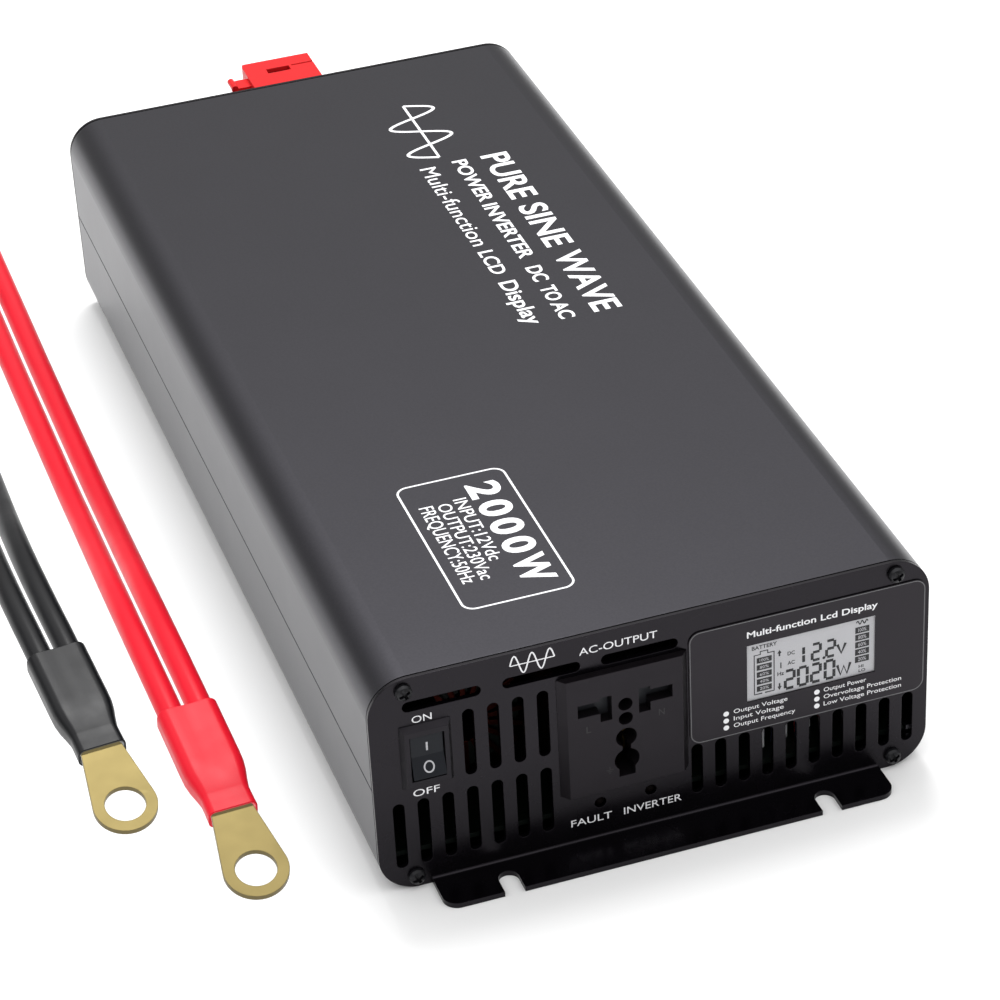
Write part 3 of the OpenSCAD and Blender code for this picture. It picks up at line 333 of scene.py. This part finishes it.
class Print:
    """Thin closed shapes on one surface, made into one piece."""

    STEPS_PER_PERIOD = 24

    def __init__(self, plane, low=0.01, thick=0.03):
        self.mesh = bmesh.new()
        self.place = Matrix.Scale(MM, 4) @ plane
        self.low = low
        self.high = low + thick

    def point(self, u, v, w):
        return self.mesh.verts.new(self.place @ Vector((u, v, w)))

    def shape(self, outline):
        """A filled outline that goes anticlockwise."""
        under = [self.point(u, v, self.low) for u, v in outline]
        over = [self.point(u, v, self.high) for u, v in outline]
        count = len(outline)
        self.mesh.faces.new(over)
        self.mesh.faces.new(list(reversed(under)))
        for i in range(count):
            k = (i + 1) % count
            self.mesh.faces.new((under[i], under[k], over[k], over[i]))

    def box(self, u0, v0, u1, v1):
        self.shape([(u0, v0), (u1, v0), (u1, v1), (u0, v1)])

    def dot(self, u, v, radius, sides=24):
        turns = [2 * math.pi * i / sides for i in range(sides)]
        self.shape([(u + radius * math.cos(a), v + radius * math.sin(a)) for a in turns])

    def line(self, points, width, closed=False, lift=0.0):
        """A line of even width through the points. A lift keeps it clear of one it crosses."""
        points = [Vector(p) for p in points]
        low, high = self.low + lift, self.high + lift
        count = len(points)
        rows = []
        for i, p in enumerate(points):
            before = points[(i - 1) % count] if closed or i > 0 else p
            after = points[(i + 1) % count] if closed or i < count - 1 else p
            along = ((p - before).normalized() + (after - p).normalized()).normalized()
            off = Vector((-along.y, along.x)) * width / 2
            rows.append(
                [
                    self.point(p.x + off.x, p.y + off.y, low),
                    self.point(p.x + off.x, p.y + off.y, high),
                    self.point(p.x - off.x, p.y - off.y, high),
                    self.point(p.x - off.x, p.y - off.y, low),
                ]
            )
        for i in range(count if closed else count - 1):
            a, b = rows[i], rows[(i + 1) % count]
            for k in range(4):
                m = (k + 1) % 4
                self.mesh.faces.new((a[k], b[k], b[m], a[m]))
        if not closed:
            self.mesh.faces.new(rows[0])
            self.mesh.faces.new(list(reversed(rows[-1])))

    def frame(self, u0, v0, u1, v1, radius, width):
        """A rectangle with round corners, drawn as a line."""
        path = []
        steps = 8
        for cu, cv, start in (
            (u1 - radius, v1 - radius, 0), (u0 + radius, v1 - radius, 90),
            (u0 + radius, v0 + radius, 180), (u1 - radius, v0 + radius, 270),
        ):
            for i in range(steps + 1):
                a = math.radians(start + 90 * i / steps)
                path.append((cu + radius * math.cos(a), cv + radius * math.sin(a)))
        self.line(path, width, closed=True)

    def words(self, text, u0, v0, u1, v1, weight=0.0):
        """Letters that fill the box from one corner to the other. Weight makes them bolder."""
        font = bpy.data.curves.new("letters", "FONT")
        font.body = text
        font.size = 1
        font.offset = weight
        font.resolution_u = 5
        font.extrude = 0.5
        letters = bpy.data.objects.new("letters", font)
        scene.collection.objects.link(letters)
        bpy.context.view_layer.update()
        made = bpy.data.meshes.new_from_object(
            letters.evaluated_get(bpy.context.evaluated_depsgraph_get())
        )
        bpy.data.objects.remove(letters)
        low = Vector([min(v.co[k] for v in made.vertices) for k in range(3)])
        high = Vector([max(v.co[k] for v in made.vertices) for k in range(3)])
        size = high - low
        for vertex in made.vertices:
            part = [(vertex.co[k] - low[k]) / size[k] for k in range(3)]
            vertex.co = self.place @ Vector(
                (
                    u0 + part[0] * (u1 - u0),
                    v0 + part[1] * (v1 - v0),
                    self.low + part[2] * (self.high - self.low),
                )
            )
        self.mesh.from_mesh(made)
        bpy.data.meshes.remove(made)

    def wave(self, u0, u1, v, height, periods, width, axis=True):
        """A sine wave, on its axis line if it has one."""
        steps = int(periods * self.STEPS_PER_PERIOD)
        points = []
        for i in range(steps + 1):
            t = i / steps
            rise = height / 2 * math.sin(2 * math.pi * periods * t)
            points.append((u0 + t * (u1 - u0), v + rise))
        self.line(points, width)
        if axis:
            self.line([(u0, v), (u1, v)], 0.75 * width, lift=0.004)

    def done(self, name, body="case"):
        bmesh.ops.remove_doubles(self.mesh, verts=self.mesh.verts, dist=1e-7)
        bmesh.ops.recalc_face_normals(self.mesh, faces=self.mesh.faces)
        piece = finished(self.mesh, name)
        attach(piece, body)
        return piece


def make_top_print():
    """On the top u is minus the distance behind the front panel, and v is X."""
    ink = Print(TOP)
    title = (("PURE", -275.8, -242.4), ("SINE", -237.2, -207.2), ("WAVE", -202.4, -162.4))
    for text, u0, u1 in title:
        ink.words(text, u0, 42.3, u1, 51.9, weight=0.02)
    # The second line runs slightly downhill
    second = (
        ("POWER", -276.1, -245, 32.2), ("INVERTER", -242.8, -203.6, 31.9),
        ("DC", -197.6, -187.6, 31.3), ("TO", -184, -174.4, 31.2), ("AC", -173, -162.4, 31.1),
    )
    for text, u0, u1, v0 in second:
        ink.words(text, u0, v0, u1, v0 + 5.3, weight=0.022)
    ink.words("Multi-function", -275, 20.5, -217.4, 26.2, weight=0.001)
    ink.words("LCD", -213.2, 20.4, -197.3, 25.6, weight=0.016)
    ink.words("Display", -191.8, 18.4, -163.2, 26, weight=0.016)
    ink.wave(-322, -281, 29.6, 18.9, 2, 1.2)
    # The rating box: its frame, the large figures and three small lines
    ink.frame(-89.4, -46.5, -23.8, -13.7, 3.5, 0.65)
    figures = (
        ("2", -83.8, -75.6), ("0", -73.4, -65.2), ("0", -63.2, -55.2), ("0", -53, -45),
        ("W", -43.4, -29.6),
    )
    for digit, u0, u1 in figures:
        ink.words(digit, u0, -27.1, u1, -17.1, weight=0.034)
    ink.words("INPUT:12Vdc", -77.9, -32.5, -44.3, -28.4, weight=0.004)
    ink.words("OUTPUT:230Vac", -76.9, -37.7, -36.2, -33.6, weight=0.004)
    ink.words("FREQUENCY:50Hz", -77.4, -43.9, -36.2, -38.7, weight=0.004)
    return ink.done("top_print")


def make_front_print():
    """The captions of the switch, the socket and the lights."""
    ink = Print(FRONT)
    ink.words("ON", -70.6, 56.6, -64.9, 58.9)
    ink.words("OFF", -71.7, 31.5, -64.0, 33.8)
    ink.words("AC-OUTPUT", -21.9, 65.8, 1.0, 68.2)
    ink.words("FAULT", -26.3, 7.0, -14, 9.4)
    ink.words("INVERTER", -10.4, 7.0, 7.1, 9.4)
    ink.wave(-41.9, -29, 67.8, 6, 2.5, 0.42)
    return ink.done("front_print")


def make_socket_marks():
    """Faint moulded letters beside the pin openings, and an earth sign."""
    out = (front_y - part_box("socket_face")[0].y) / MM
    low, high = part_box("socket_face")
    u, v = (low.x + high.x) / 2 / MM, (low.z + high.z) / 2 / MM
    ink = Print(FRONT, low=out + 0.005, thick=0.02)
    ink.words("L", u - 11.7, v + 1.6, u - 10.3, v + 3.8)
    ink.words("N", u + 9.8, v + 1.7, u + 11.5, v + 3.9)
    for half, step in ((1.1, 0), (0.7, 0.55), (0.3, 1.1)):
        ink.box(u - 5.2 - half, v - 13.2 - step, u - 5.2 + half, v - 13.0 - step)
    ink.box(u - 5.3, v - 13.0, u - 5.1, v - 12.0)
    return ink.done("socket_marks")


SIGNALS_LEFT = ("Output Voltage", "Input Voltage", "Output Frequency")
SIGNALS_RIGHT = ("Output Power", "Overvoltage Protection", "Low Voltage Protection")


def make_label_print():
    """The label's title and its two columns of signals."""
    skin = (front_y - label_low.y) / MM
    ink = Print(FRONT, low=skin + 0.01)
    ink.words("Multi-function Lcd Display", 27.4, 57.6, 67, 60.4, weight=0.016)
    for row, (left, right) in enumerate(zip(SIGNALS_LEFT, SIGNALS_RIGHT)):
        z = 33.9 - 2.45 * row
        ink.dot(20.9, z, 0.85)
        ink.words(left, 23.2, z - 0.95, 23.2 + 1.17 * len(left), z + 0.95)
        ink.dot(48.6, z - 0.15, 0.85)
        ink.words(right, 50.7, z - 1.1, 50.7 + 1.09 * len(right), z + 0.8)
    return ink.done("label_print")


def make_label_edge():
    """The thin line round the label."""
    skin = (front_y - label_low.y) / MM
    ink = Print(FRONT, low=skin + 0.01)
    inset = 0.35
    ink.frame(
        label_low.x / MM + inset, label_low.z / MM + inset,
        label_high.x / MM - inset, label_high.z / MM - inset, 3.2, 0.26,
    )
    return ink.done("label_edge")


# Which bars of a seven-bar digit are dark: top, upper right, lower right, bottom, lower
# left, upper left, middle
DIGITS = {"0": "1111110", "1": "0110000", "2": "1101101"}


def draw_digit(ink, digit, u, v, w, h, t):
    """A digit of seven bars in the box at u, v."""
    mid = h / 2
    gap = 0.22
    bars = [
        ((gap, h), (w - gap, h)), ((w, h - gap), (w, mid + gap)), ((w, mid - gap), (w, gap)),
        ((gap, 0), (w - gap, 0)), ((0, gap), (0, mid - gap)), ((0, mid + gap), (0, h - gap)),
        ((gap, mid), (w - gap, mid)),
    ]
    for (a, b), dark in zip(bars, DIGITS[digit]):
        if dark == "1":
            ink.line([(u + a[0], v + a[1]), (u + b[0], v + b[1])], t)


# Two scales of five bars: left, lowest, width, height and step, in millimetres
BATTERY_BARS = (30.55, 38.4, 4.55, 1.87, 2.46)
LOAD_BARS = (60.55, 40.1, 4.3, 2.1, 2.55)


def make_lcd_segments():
    """The dark parts of the display."""
    depth = (front_y - lcd_low.y) / MM
    ink = Print(FRONT, low=depth + 0.01, thick=0.03)
    # Battery with its cap, and two scales of five bars
    ink.line([(33, 37.6), (35.8, 37.6), (35.8, 51.2), (33.9, 51.2), (33.9, 52.2), (31.65, 52.2),
              (31.65, 51.2), (29.8, 51.2), (29.8, 37.6), (32.2, 37.6)], 0.42)
    for u, v, wide, high, step in (BATTERY_BARS, LOAD_BARS):
        for i in range(5):
            ink.box(u, v + step * i, u + wide, v + step * i + high)
    ink.wave(60.9, 64.4, 53.9, 1.1, 2.5, 0.35, axis=False)
    # Upper row: volts. Lower row: watts
    for digit, u in (("1", 42.3), ("2", 47.4), ("2", 51.8)):
        draw_digit(ink, digit, u, 44.7, 2.5, 5.5, 0.9)
    ink.dot(51.0, 44.7, 0.48, sides=12)
    for digit, u in (("2", 39.2), ("0", 43.2), ("2", 47.2), ("0", 51.4)):
        draw_digit(ink, digit, u, 37.1, 2.7, 6.1, 0.95)
    ink.line([(55.1, 48.1), (56.3, 44.9), (57.6, 48.1)], 0.85)
    ink.line([(55.1, 40.9), (56.1, 37.3), (57.1, 40.2), (58.1, 37.3), (59.1, 40.9)], 0.85)
    # Small arrows and words round the digits
    ink.shape([(36.8, 50.0), (38.1, 50.0), (37.45, 51.2)])
    ink.box(37.2, 49.0, 37.7, 50.0)
    ink.box(37.7, 44.7, 38.05, 46.7)
    ink.shape([(36.8, 38.5), (37.45, 37.2), (38.1, 38.5)])
    ink.box(37.2, 38.5, 37.7, 39.6)
    ink.words("BATTERY", 29.1, 53.1, 36.7, 54.4, weight=0.02)
    ink.words("DC", 39.9, 48.5, 42.1, 49.8, weight=0.02)
    ink.words("AC", 39.9, 45.2, 42.1, 46.5, weight=0.02)
    ink.words("Hz", 36.8, 42.2, 38.8, 43.5, weight=0.02)
    ink.words("HI", 61.7, 38.1, 63.2, 39.1, weight=0.02)
    ink.words("LO", 61.7, 36.6, 63.8, 37.6, weight=0.02)
    return ink.done("lcd_segments")


def make_lcd_scales():
    """The light percentages in the dark bars."""
    depth = (front_y - lcd_low.y) / MM
    ink = Print(FRONT, low=depth + 0.045, thick=0.02)
    for u, v, wide, high, step in (BATTERY_BARS, LOAD_BARS):
        for i in range(5):
            low = v + step * i
            percent = "%d%%" % (20 * i + 20)
            ink.words(percent, u + 0.9, low + 0.45, u + wide - 0.9, low + high - 0.45)
    return ink.done("lcd_scales")


# The rocker's face from its pivot: the ridge between its two halves, and their outer ends
ROCKER_SPLIT = -1.7
ROCKER_END = (-2.8, 6.6)
ROCKER_REST = -9


def make_rocker_marks():
    """A bar on the upper face of the rocker and a ring on the lower one."""
    slope = math.degrees(math.atan2(ROCKER_END[0] - ROCKER_SPLIT, ROCKER_END[1]))
    tilt = Matrix.Rotation(math.radians(ROCKER_REST), 4, "X")
    rest = Matrix.Translation(rocker_pivot / MM) @ tilt
    made = []
    for name, side in (("upper", 1), ("lower", -1)):
        face = (
            rest
            @ Matrix.Translation((0, ROCKER_SPLIT, 0))
            @ Matrix.Rotation(math.radians(-slope * side), 4, "X")
            @ Matrix(((1, 0, 0, 0), (0, 0, -1, 0), (0, 1, 0, 0), (0, 0, 0, 1)))
        )
        ink = Print(face, low=0.01, thick=0.04)
        if side > 0:
            ink.box(-0.28, 1.6, 0.28, 4.4)
        else:
            turns = [2 * math.pi * i / 32 for i in range(32)]
            ring = [(1.35 * math.cos(a), -3.5 + 1.6 * math.sin(a)) for a in turns]
            ink.line(ring, 0.46, closed=True)
        made.append(ink.done("rocker_mark_" + name, body="rocker"))
    return made


white_prints = [make_top_print(), make_front_print(), make_label_print()]
label_edge = make_label_edge()
lcd_segments = make_lcd_segments()
lcd_scales = make_lcd_scales()
socket_marks = make_socket_marks()
rocker_marks = make_rocker_marks()

# ---------------------------------------------------------------- materials


class Shader:
    """A principled material with its maps worked out from noise in the part's own space."""

    def __init__(self, name, colour, roughness, metallic=0.0, specular=0.5, coat=0.0,
                 alpha=1.0, emission=0.0, sheen=(1, 1, 1)):
        self.material = bpy.data.materials.new(name)
        self.material.use_nodes = True
        self.tree = self.material.node_tree
        self.tree.nodes.clear()
        self.out = self.add("ShaderNodeOutputMaterial")
        self.main = self.add("ShaderNodeBsdfPrincipled")
        self.join(self.main, "BSDF", self.out, "Surface")
        self.colour = colour
        self.roughness = roughness
        self.main.inputs["Base Color"].default_value = (*colour, 1)
        self.main.inputs["Roughness"].default_value = roughness
        self.main.inputs["Metallic"].default_value = metallic
        self.main.inputs["Specular IOR Level"].default_value = specular
        self.main.inputs["Specular Tint"].default_value = (*sheen, 1)
        self.main.inputs["Coat Weight"].default_value = coat
        self.main.inputs["Alpha"].default_value = alpha
        if emission:
            self.main.inputs["Emission Color"].default_value = (*colour, 1)
            self.main.inputs["Emission Strength"].default_value = emission
        self.where = self.add("ShaderNodeTexCoord")
        # The last relief or edge node, which the next one builds on
        self.normal = None

    def add(self, kind):
        return self.tree.nodes.new(kind)

    def join(self, source, output, target, entry):
        self.tree.links.new(source.outputs[output], target.inputs[entry])

    def noise(self, scale, detail=4.0, stretch=(1, 1, 1)):
        mapping = self.add("ShaderNodeMapping")
        mapping.inputs["Scale"].default_value = stretch
        self.join(self.where, "Object", mapping, "Vector")
        noise = self.add("ShaderNodeTexNoise")
        noise.inputs["Scale"].default_value = scale
        noise.inputs["Detail"].default_value = detail
        self.join(mapping, "Vector", noise, "Vector")
        return noise

    def mottle(self, amount, scale, detail=4.0, stretch=(1, 1, 1)):
        """Lets the colour wander a little lighter and darker."""
        noise = self.noise(scale, detail, stretch)
        ramp = self.add("ShaderNodeValToRGB")
        ramp.color_ramp.elements[0].position = 0.3
        ramp.color_ramp.elements[1].position = 0.7
        for element, gain in zip(ramp.color_ramp.elements, (1 - amount, 1 + amount)):
            element.color = (*[min(1, c * gain) for c in self.colour], 1)
        self.join(noise, "Fac", ramp, "Fac")
        self.join(ramp, "Color", self.main, "Base Color")
        return self

    def uneven(self, amount, scale, stretch=(1, 1, 1)):
        """Lets the roughness wander."""
        noise = self.noise(scale, 3.0, stretch)
        spread = self.add("ShaderNodeMapRange")
        spread.inputs["From Min"].default_value = 0.3
        spread.inputs["From Max"].default_value = 0.7
        spread.inputs["To Min"].default_value = self.roughness - amount
        spread.inputs["To Max"].default_value = self.roughness + amount
        self.join(noise, "Fac", spread, "Value")
        self.join(spread, "Result", self.main, "Roughness")
        return self

    def grain(self, strength, scale, depth=0.05, stretch=(1, 1, 1), detail=3.0):
        """Fine relief, with depth in millimetres."""
        noise = self.noise(scale, detail, stretch)
        bump = self.add("ShaderNodeBump")
        bump.inputs["Strength"].default_value = strength
        bump.inputs["Distance"].default_value = depth * MM
        self.join(noise, "Fac", bump, "Height")
        if self.normal:
            self.join(self.normal, "Normal", bump, "Normal")
        self.join(bump, "Normal", self.main, "Normal")
        self.normal = bump
        return self

    def soft_edges(self, radius):
        """Rounds the look of sharp edges. The radius is in millimetres."""
        bevel = self.add("ShaderNodeBevel")
        bevel.samples = 4
        bevel.inputs["Radius"].default_value = radius * MM
        self.join(bevel, "Normal", self.main, "Normal")
        self.normal = bevel
        return self

    def banded(self, axis, stops):
        """Colours in bands along an axis: (place in millimetres, colour)."""
        apart = self.add("ShaderNodeSeparateXYZ")
        self.join(self.where, "Object", apart, "Vector")
        low, high = stops[0][0], stops[-1][0]
        spread = self.add("ShaderNodeMapRange")
        spread.inputs["From Min"].default_value = low * MM
        spread.inputs["From Max"].default_value = high * MM
        self.join(apart, axis, spread, "Value")
        ramp = self.add("ShaderNodeValToRGB")
        ramp.color_ramp.interpolation = "CONSTANT"
        elements = ramp.color_ramp.elements
        while len(elements) < len(stops):
            elements.new(0.5)
        for element, (place, colour) in zip(elements, stops):
            element.position = (place - low) / (high - low)
            element.color = (*colour, 1)
        self.join(spread, "Result", ramp, "Fac")
        self.join(ramp, "Color", self.main, "Base Color")
        return self


def dress(piece, shader):
    """Gives a piece or a CAD node one material all over."""
    slots = piece.data.materials
    slots.clear()
    slots.append(shader.material)


# The black paints and plastics shine a little violet or blue
VIOLET = (0.95, 0.87, 1)
BLUISH = (0.92, 0.96, 1)


def make_materials():
    shade = {}
    shade["shell"] = (
        Shader("anodised_shell", (0.0535, 0.052, 0.059), 0.32, metallic=1.0)
        .soft_edges(0.3).mottle(0.06, 1400, detail=2.0).uneven(0.008, 40)
        .grain(0.25, 2600, depth=0.02)
    )
    shade["panel"] = (
        Shader("powder_coat", (0.0009, 0.0007, 0.0012), 0.26, specular=0.25, sheen=VIOLET)
        .soft_edges(0.25).mottle(0.15, 60).uneven(0.05, 90).grain(0.35, 1900, depth=0.03)
    )
    shade["black_screw"] = (
        Shader("black_steel", (0.009, 0.009, 0.011), 0.36, metallic=0.5)
        .soft_edges(0.12).mottle(0.2, 300).uneven(0.08, 500)
    )
    shade["label"] = (
        Shader("label_film", (0.002, 0.0016, 0.002), 0.34, specular=0.32, sheen=VIOLET)
        .mottle(0.08, 70).uneven(0.04, 120).grain(0.2, 2400, depth=0.01)
    )
    shade["window"] = (
        Shader("clear_window", (0.02, 0.02, 0.025), 0.05, specular=0.35, alpha=0.04)
        .uneven(0.02, 200)
    )
    shade["lcd"] = (
        Shader("lcd_cell", (0.47, 0.47, 0.49), 0.4, specular=0.3, emission=0.13)
        .mottle(0.01, 90).uneven(0.03, 200)
    )
    shade["circuit_board"] = (
        Shader("circuit_board", (0.001, 0.0035, 0.002), 0.5, specular=0.2)
        .soft_edges(0.1).mottle(0.25, 900, detail=1.0).uneven(0.08, 600)
        .grain(0.3, 1200, depth=0.05, detail=1.0)
    )
    shade["led"] = (
        Shader("led_lens", (0.002, 0.001, 0.001), 0.55, specular=0.03)
        .mottle(0.1, 400).uneven(0.03, 300)
    )
    shade["black_plastic"] = (
        Shader("black_plastic", (0.002, 0.002, 0.0025), 0.36, specular=0.25, sheen=VIOLET)
        .soft_edges(0.2).mottle(0.12, 120).uneven(0.05, 200).grain(0.25, 2200, depth=0.02)
    )
    shade["rocker"] = (
        Shader("rocker_plastic", (0.004, 0.0045, 0.007), 0.38, specular=0.22, sheen=BLUISH)
        .soft_edges(0.25).mottle(0.1, 150).uneven(0.05, 240).grain(0.2, 2200, depth=0.015)
    )
    shade["socket"] = (
        Shader("socket_plastic", (0.0045, 0.0037, 0.0045), 0.36, specular=0.22, sheen=VIOLET)
        .soft_edges(0.25).mottle(0.1, 90).uneven(0.05, 200).grain(0.25, 2000, depth=0.02)
    )
    shade["shutter"] = (
        Shader("shutter_plastic", (0.02, 0.021, 0.024), 0.42, specular=0.25, sheen=BLUISH)
        .soft_edges(0.15).mottle(0.1, 200).uneven(0.05, 300).grain(0.2, 2000, depth=0.02)
    )
    shade["steel"] = (
        Shader("zinc_steel", (0.56, 0.56, 0.57), 0.3, metallic=1.0)
        .soft_edges(0.15).mottle(0.1, 220).uneven(0.07, 400, stretch=(1, 1, 6))
        .grain(0.2, 1500, depth=0.01)
    )
    shade["guard"] = (
        Shader("bright_wire", (0.62, 0.62, 0.63), 0.2, metallic=1.0)
        .mottle(0.08, 300).uneven(0.06, 500)
    )
    shade["brass"] = (
        Shader("brass", (0.16, 0.11, 0.04), 0.42, metallic=1.0)
        .soft_edges(0.15).mottle(0.12, 300).uneven(0.07, 400)
    )
    shade["fan"] = (
        Shader("fan_plastic", (0.014, 0.014, 0.016), 0.45, specular=0.4)
        .soft_edges(0.2).mottle(0.15, 120).uneven(0.05, 200).grain(0.25, 1800, depth=0.02)
    )
    shade["red_plastic"] = (
        Shader("red_plastic", (0.60, 0.010, 0.012), 0.34, specular=0.18)
        .soft_edges(0.35).mottle(0.07, 90).uneven(0.05, 160).grain(0.2, 1600, depth=0.02)
    )
    shade["core"] = (
        Shader("ferrite", (0.045, 0.045, 0.05), 0.55, metallic=0.2)
        .soft_edges(0.4).mottle(0.3, 500).uneven(0.08, 400).grain(0.4, 900, depth=0.05)
    )
    shade["ring_core"] = (
        Shader("coated_core", (0.003, 0.008, 0.005), 0.5, specular=0.3)
        .soft_edges(0.4).mottle(0.15, 300).uneven(0.06, 200)
    )
    shade["tape"] = (
        Shader("winding_tape", (0.62, 0.40, 0.05), 0.4, coat=0.2).soft_edges(0.3)
        .mottle(0.18, 40, stretch=(1, 1, 12)).uneven(0.06, 150)
        .grain(0.4, 60, depth=0.3, stretch=(1, 1, 14))
    )
    shade["copper"] = (
        Shader("enamelled_copper", (0.05, 0.01, 0.007), 0.4, metallic=1.0)
        .soft_edges(0.5).mottle(0.15, 300).uneven(0.06, 200)
    )
    shade["can"] = (
        Shader("capacitor_sleeve", (0.02, 0.024, 0.05), 0.3, coat=0.3).soft_edges(0.3)
        .mottle(0.12, 160).uneven(0.05, 200)
    )
    shade["film"] = (
        Shader("film_capacitor", (0.50, 0.34, 0.04), 0.35, coat=0.2).soft_edges(0.5)
        .mottle(0.1, 160).uneven(0.05, 200)
    )
    shade["aluminium"] = (
        Shader("milled_aluminium", (0.60, 0.60, 0.61), 0.34, metallic=1.0).soft_edges(0.2)
        .mottle(0.08, 120, stretch=(1, 0.05, 1)).uneven(0.08, 300, stretch=(1, 0.05, 1))
        .grain(0.3, 900, depth=0.02, stretch=(1, 0.02, 1))
    )
    shade["fuse"] = (
        Shader("fuse_plastic", (0.72, 0.52, 0.03), 0.2, coat=0.4).soft_edges(0.3)
        .mottle(0.08, 200).uneven(0.05, 200)
    )
    # The wires' colours, by their places across the case
    white, blue, red = (0.7, 0.7, 0.72), (0.16, 0.2, 0.45), (0.5, 0.03, 0.03)
    brown, green = (0.2, 0.07, 0.03), (0.25, 0.4, 0.05)
    shade["wire"] = (
        Shader("wire_insulation", white, 0.4, specular=0.45)
        .banded("X", [(-80, brown), (-20, blue), (-12, green), (-4, brown),
                      (34, white), (38, blue), (42, white), (46, red), (50, white), (60, white)])
        .uneven(0.06, 300).grain(0.15, 700, depth=0.03)
    )
    shade["lug"] = (
        Shader("plated_lug", (0.128, 0.1, 0.038), 0.4, metallic=0.9)
        .soft_edges(0.3).mottle(0.03, 60).uneven(0.02, 110).grain(0.15, 1800, depth=0.01)
    )
    shade["red_lead"] = (
        Shader("red_lead_cover", (0.66, 0.008, 0.022), 0.34, specular=0.15)
        .mottle(0.06, 60, stretch=(1, 0.3, 1)).uneven(0.05, 90).grain(0.15, 500, depth=0.05)
    )
    shade["black_lead"] = (
        Shader("black_lead_cover", (0.004, 0.004, 0.005), 0.34, specular=0.22)
        .mottle(0.1, 60, stretch=(1, 0.3, 1)).uneven(0.05, 90).grain(0.15, 500, depth=0.05)
    )
    shade["ink"] = (
        Shader("white_ink", (0.82, 0.82, 0.84), 0.5)
        .mottle(0.04, 300).uneven(0.05, 300)
    )
    shade["edge_ink"] = (
        Shader("grey_ink", (0.12, 0.12, 0.125), 0.5)
        .mottle(0.06, 300).uneven(0.05, 300)
    )
    shade["segment"] = (
        Shader("dark_segment", (0.012, 0.012, 0.014), 0.5)
        .mottle(0.1, 300).uneven(0.05, 300)
    )
    shade["moulding"] = (
        Shader("moulded_mark", (0.006, 0.005, 0.006), 0.5)
        .mottle(0.1, 300).uneven(0.05, 300)
    )
    shade["mark"] = (
        Shader("grey_mark", (0.42, 0.42, 0.44), 0.5)
        .mottle(0.06, 300).uneven(0.05, 300)
    )
    return shade


shades = make_materials()
slot_of = {s["node"]: s["material_slot"] for s in frame["record"]["subparts"]}
for name, node in nodes.items():
    slot = slot_of[name]
    # The slots red_wire and black_wire are dressed as leads
    dress(node, shades.get(slot) or shades[slot.replace("wire", "lead")])
for piece, colour in lead_pieces:
    dress(piece, shades[colour + "_lead"])
for piece in white_prints:
    dress(piece, shades["ink"])
dress(label_edge, shades["edge_ink"])
dress(lcd_segments, shades["segment"])
dress(lcd_scales, shades["lcd"])
dress(socket_marks, shades["moulding"])
for piece in rocker_marks:
    dress(piece, shades["mark"])
for piece in shutter_springs:
    dress(piece, shades["steel"])
# The loose leads neither tint the satin side of the case nor shade the floor
for piece in [entry[0] for entry in lead_pieces] + [nodes["lead_lugs"]]:
    piece.visible_glossy = piece.visible_diffuse = piece.visible_shadow = False

# ---------------------------------------------------------------- floor and light


FLOOR_HALF = 6
FLOOR_DROP = 0.05
HORIZON_LIGHT = 0.45
ZENITH_LIGHT = 1.6
# The sky brightens between these heights on a sphere of radius 1
SKY_RISE = (0.40, 0.68)
KEY_PLACE = (0.12, 0.57, 1.6)
KEY_SIZE = (0.6, 0.6)
KEY_POWER = 15.5


def make_floor():
    mesh = bmesh.new()
    half = FLOOR_HALF
    corners = [(-half, -half), (half, -half), (half, half), (-half, half)]
    mesh.faces.new([mesh.verts.new((x, y, -FLOOR_DROP * MM)) for x, y in corners])
    floor = finished(mesh, "floor")
    paint = Shader("pale_floor", (0.86, 0.86, 0.86), 0.8, specular=0.1)
    paint.mottle(0.01, 3)
    dress(floor, paint)


def soft_light(name, place, aim, size, power):
    """A square lamp that faces a point."""
    data = bpy.data.lights.new(name, "AREA")
    data.shape = "RECTANGLE"
    data.size, data.size_y = size
    data.energy = power
    light = bpy.data.objects.new(name, data)
    light.location = place
    light.rotation_mode = "QUATERNION"
    light.rotation_quaternion = (Vector(aim) - Vector(place)).to_track_quat("-Z", "Y")
    scene.collection.objects.link(light)


def make_world():
    """A white tent: bright overhead and dimmer towards the horizon."""
    world = bpy.data.worlds.new("studio")
    scene.world = world
    world.use_nodes = True
    tree = world.node_tree
    back = tree.nodes["Background"]
    where = tree.nodes.new("ShaderNodeTexCoord")
    apart = tree.nodes.new("ShaderNodeSeparateXYZ")
    spread = tree.nodes.new("ShaderNodeMapRange")
    spread.interpolation_type = "SMOOTHSTEP"
    spread.inputs["From Min"].default_value = SKY_RISE[0]
    spread.inputs["From Max"].default_value = SKY_RISE[1]
    spread.inputs["To Min"].default_value = HORIZON_LIGHT
    spread.inputs["To Max"].default_value = ZENITH_LIGHT
    tree.links.new(where.outputs["Generated"], apart.inputs["Vector"])
    tree.links.new(apart.outputs["Z"], spread.inputs["Value"])
    tree.links.new(spread.outputs["Result"], back.inputs["Strength"])
    back.inputs["Color"].default_value = (1, 1, 1, 1)


make_floor()
make_world()
soft_light("key", KEY_PLACE, (0, 0, 0), KEY_SIZE, KEY_POWER)
scene.view_settings.view_transform = "Standard"
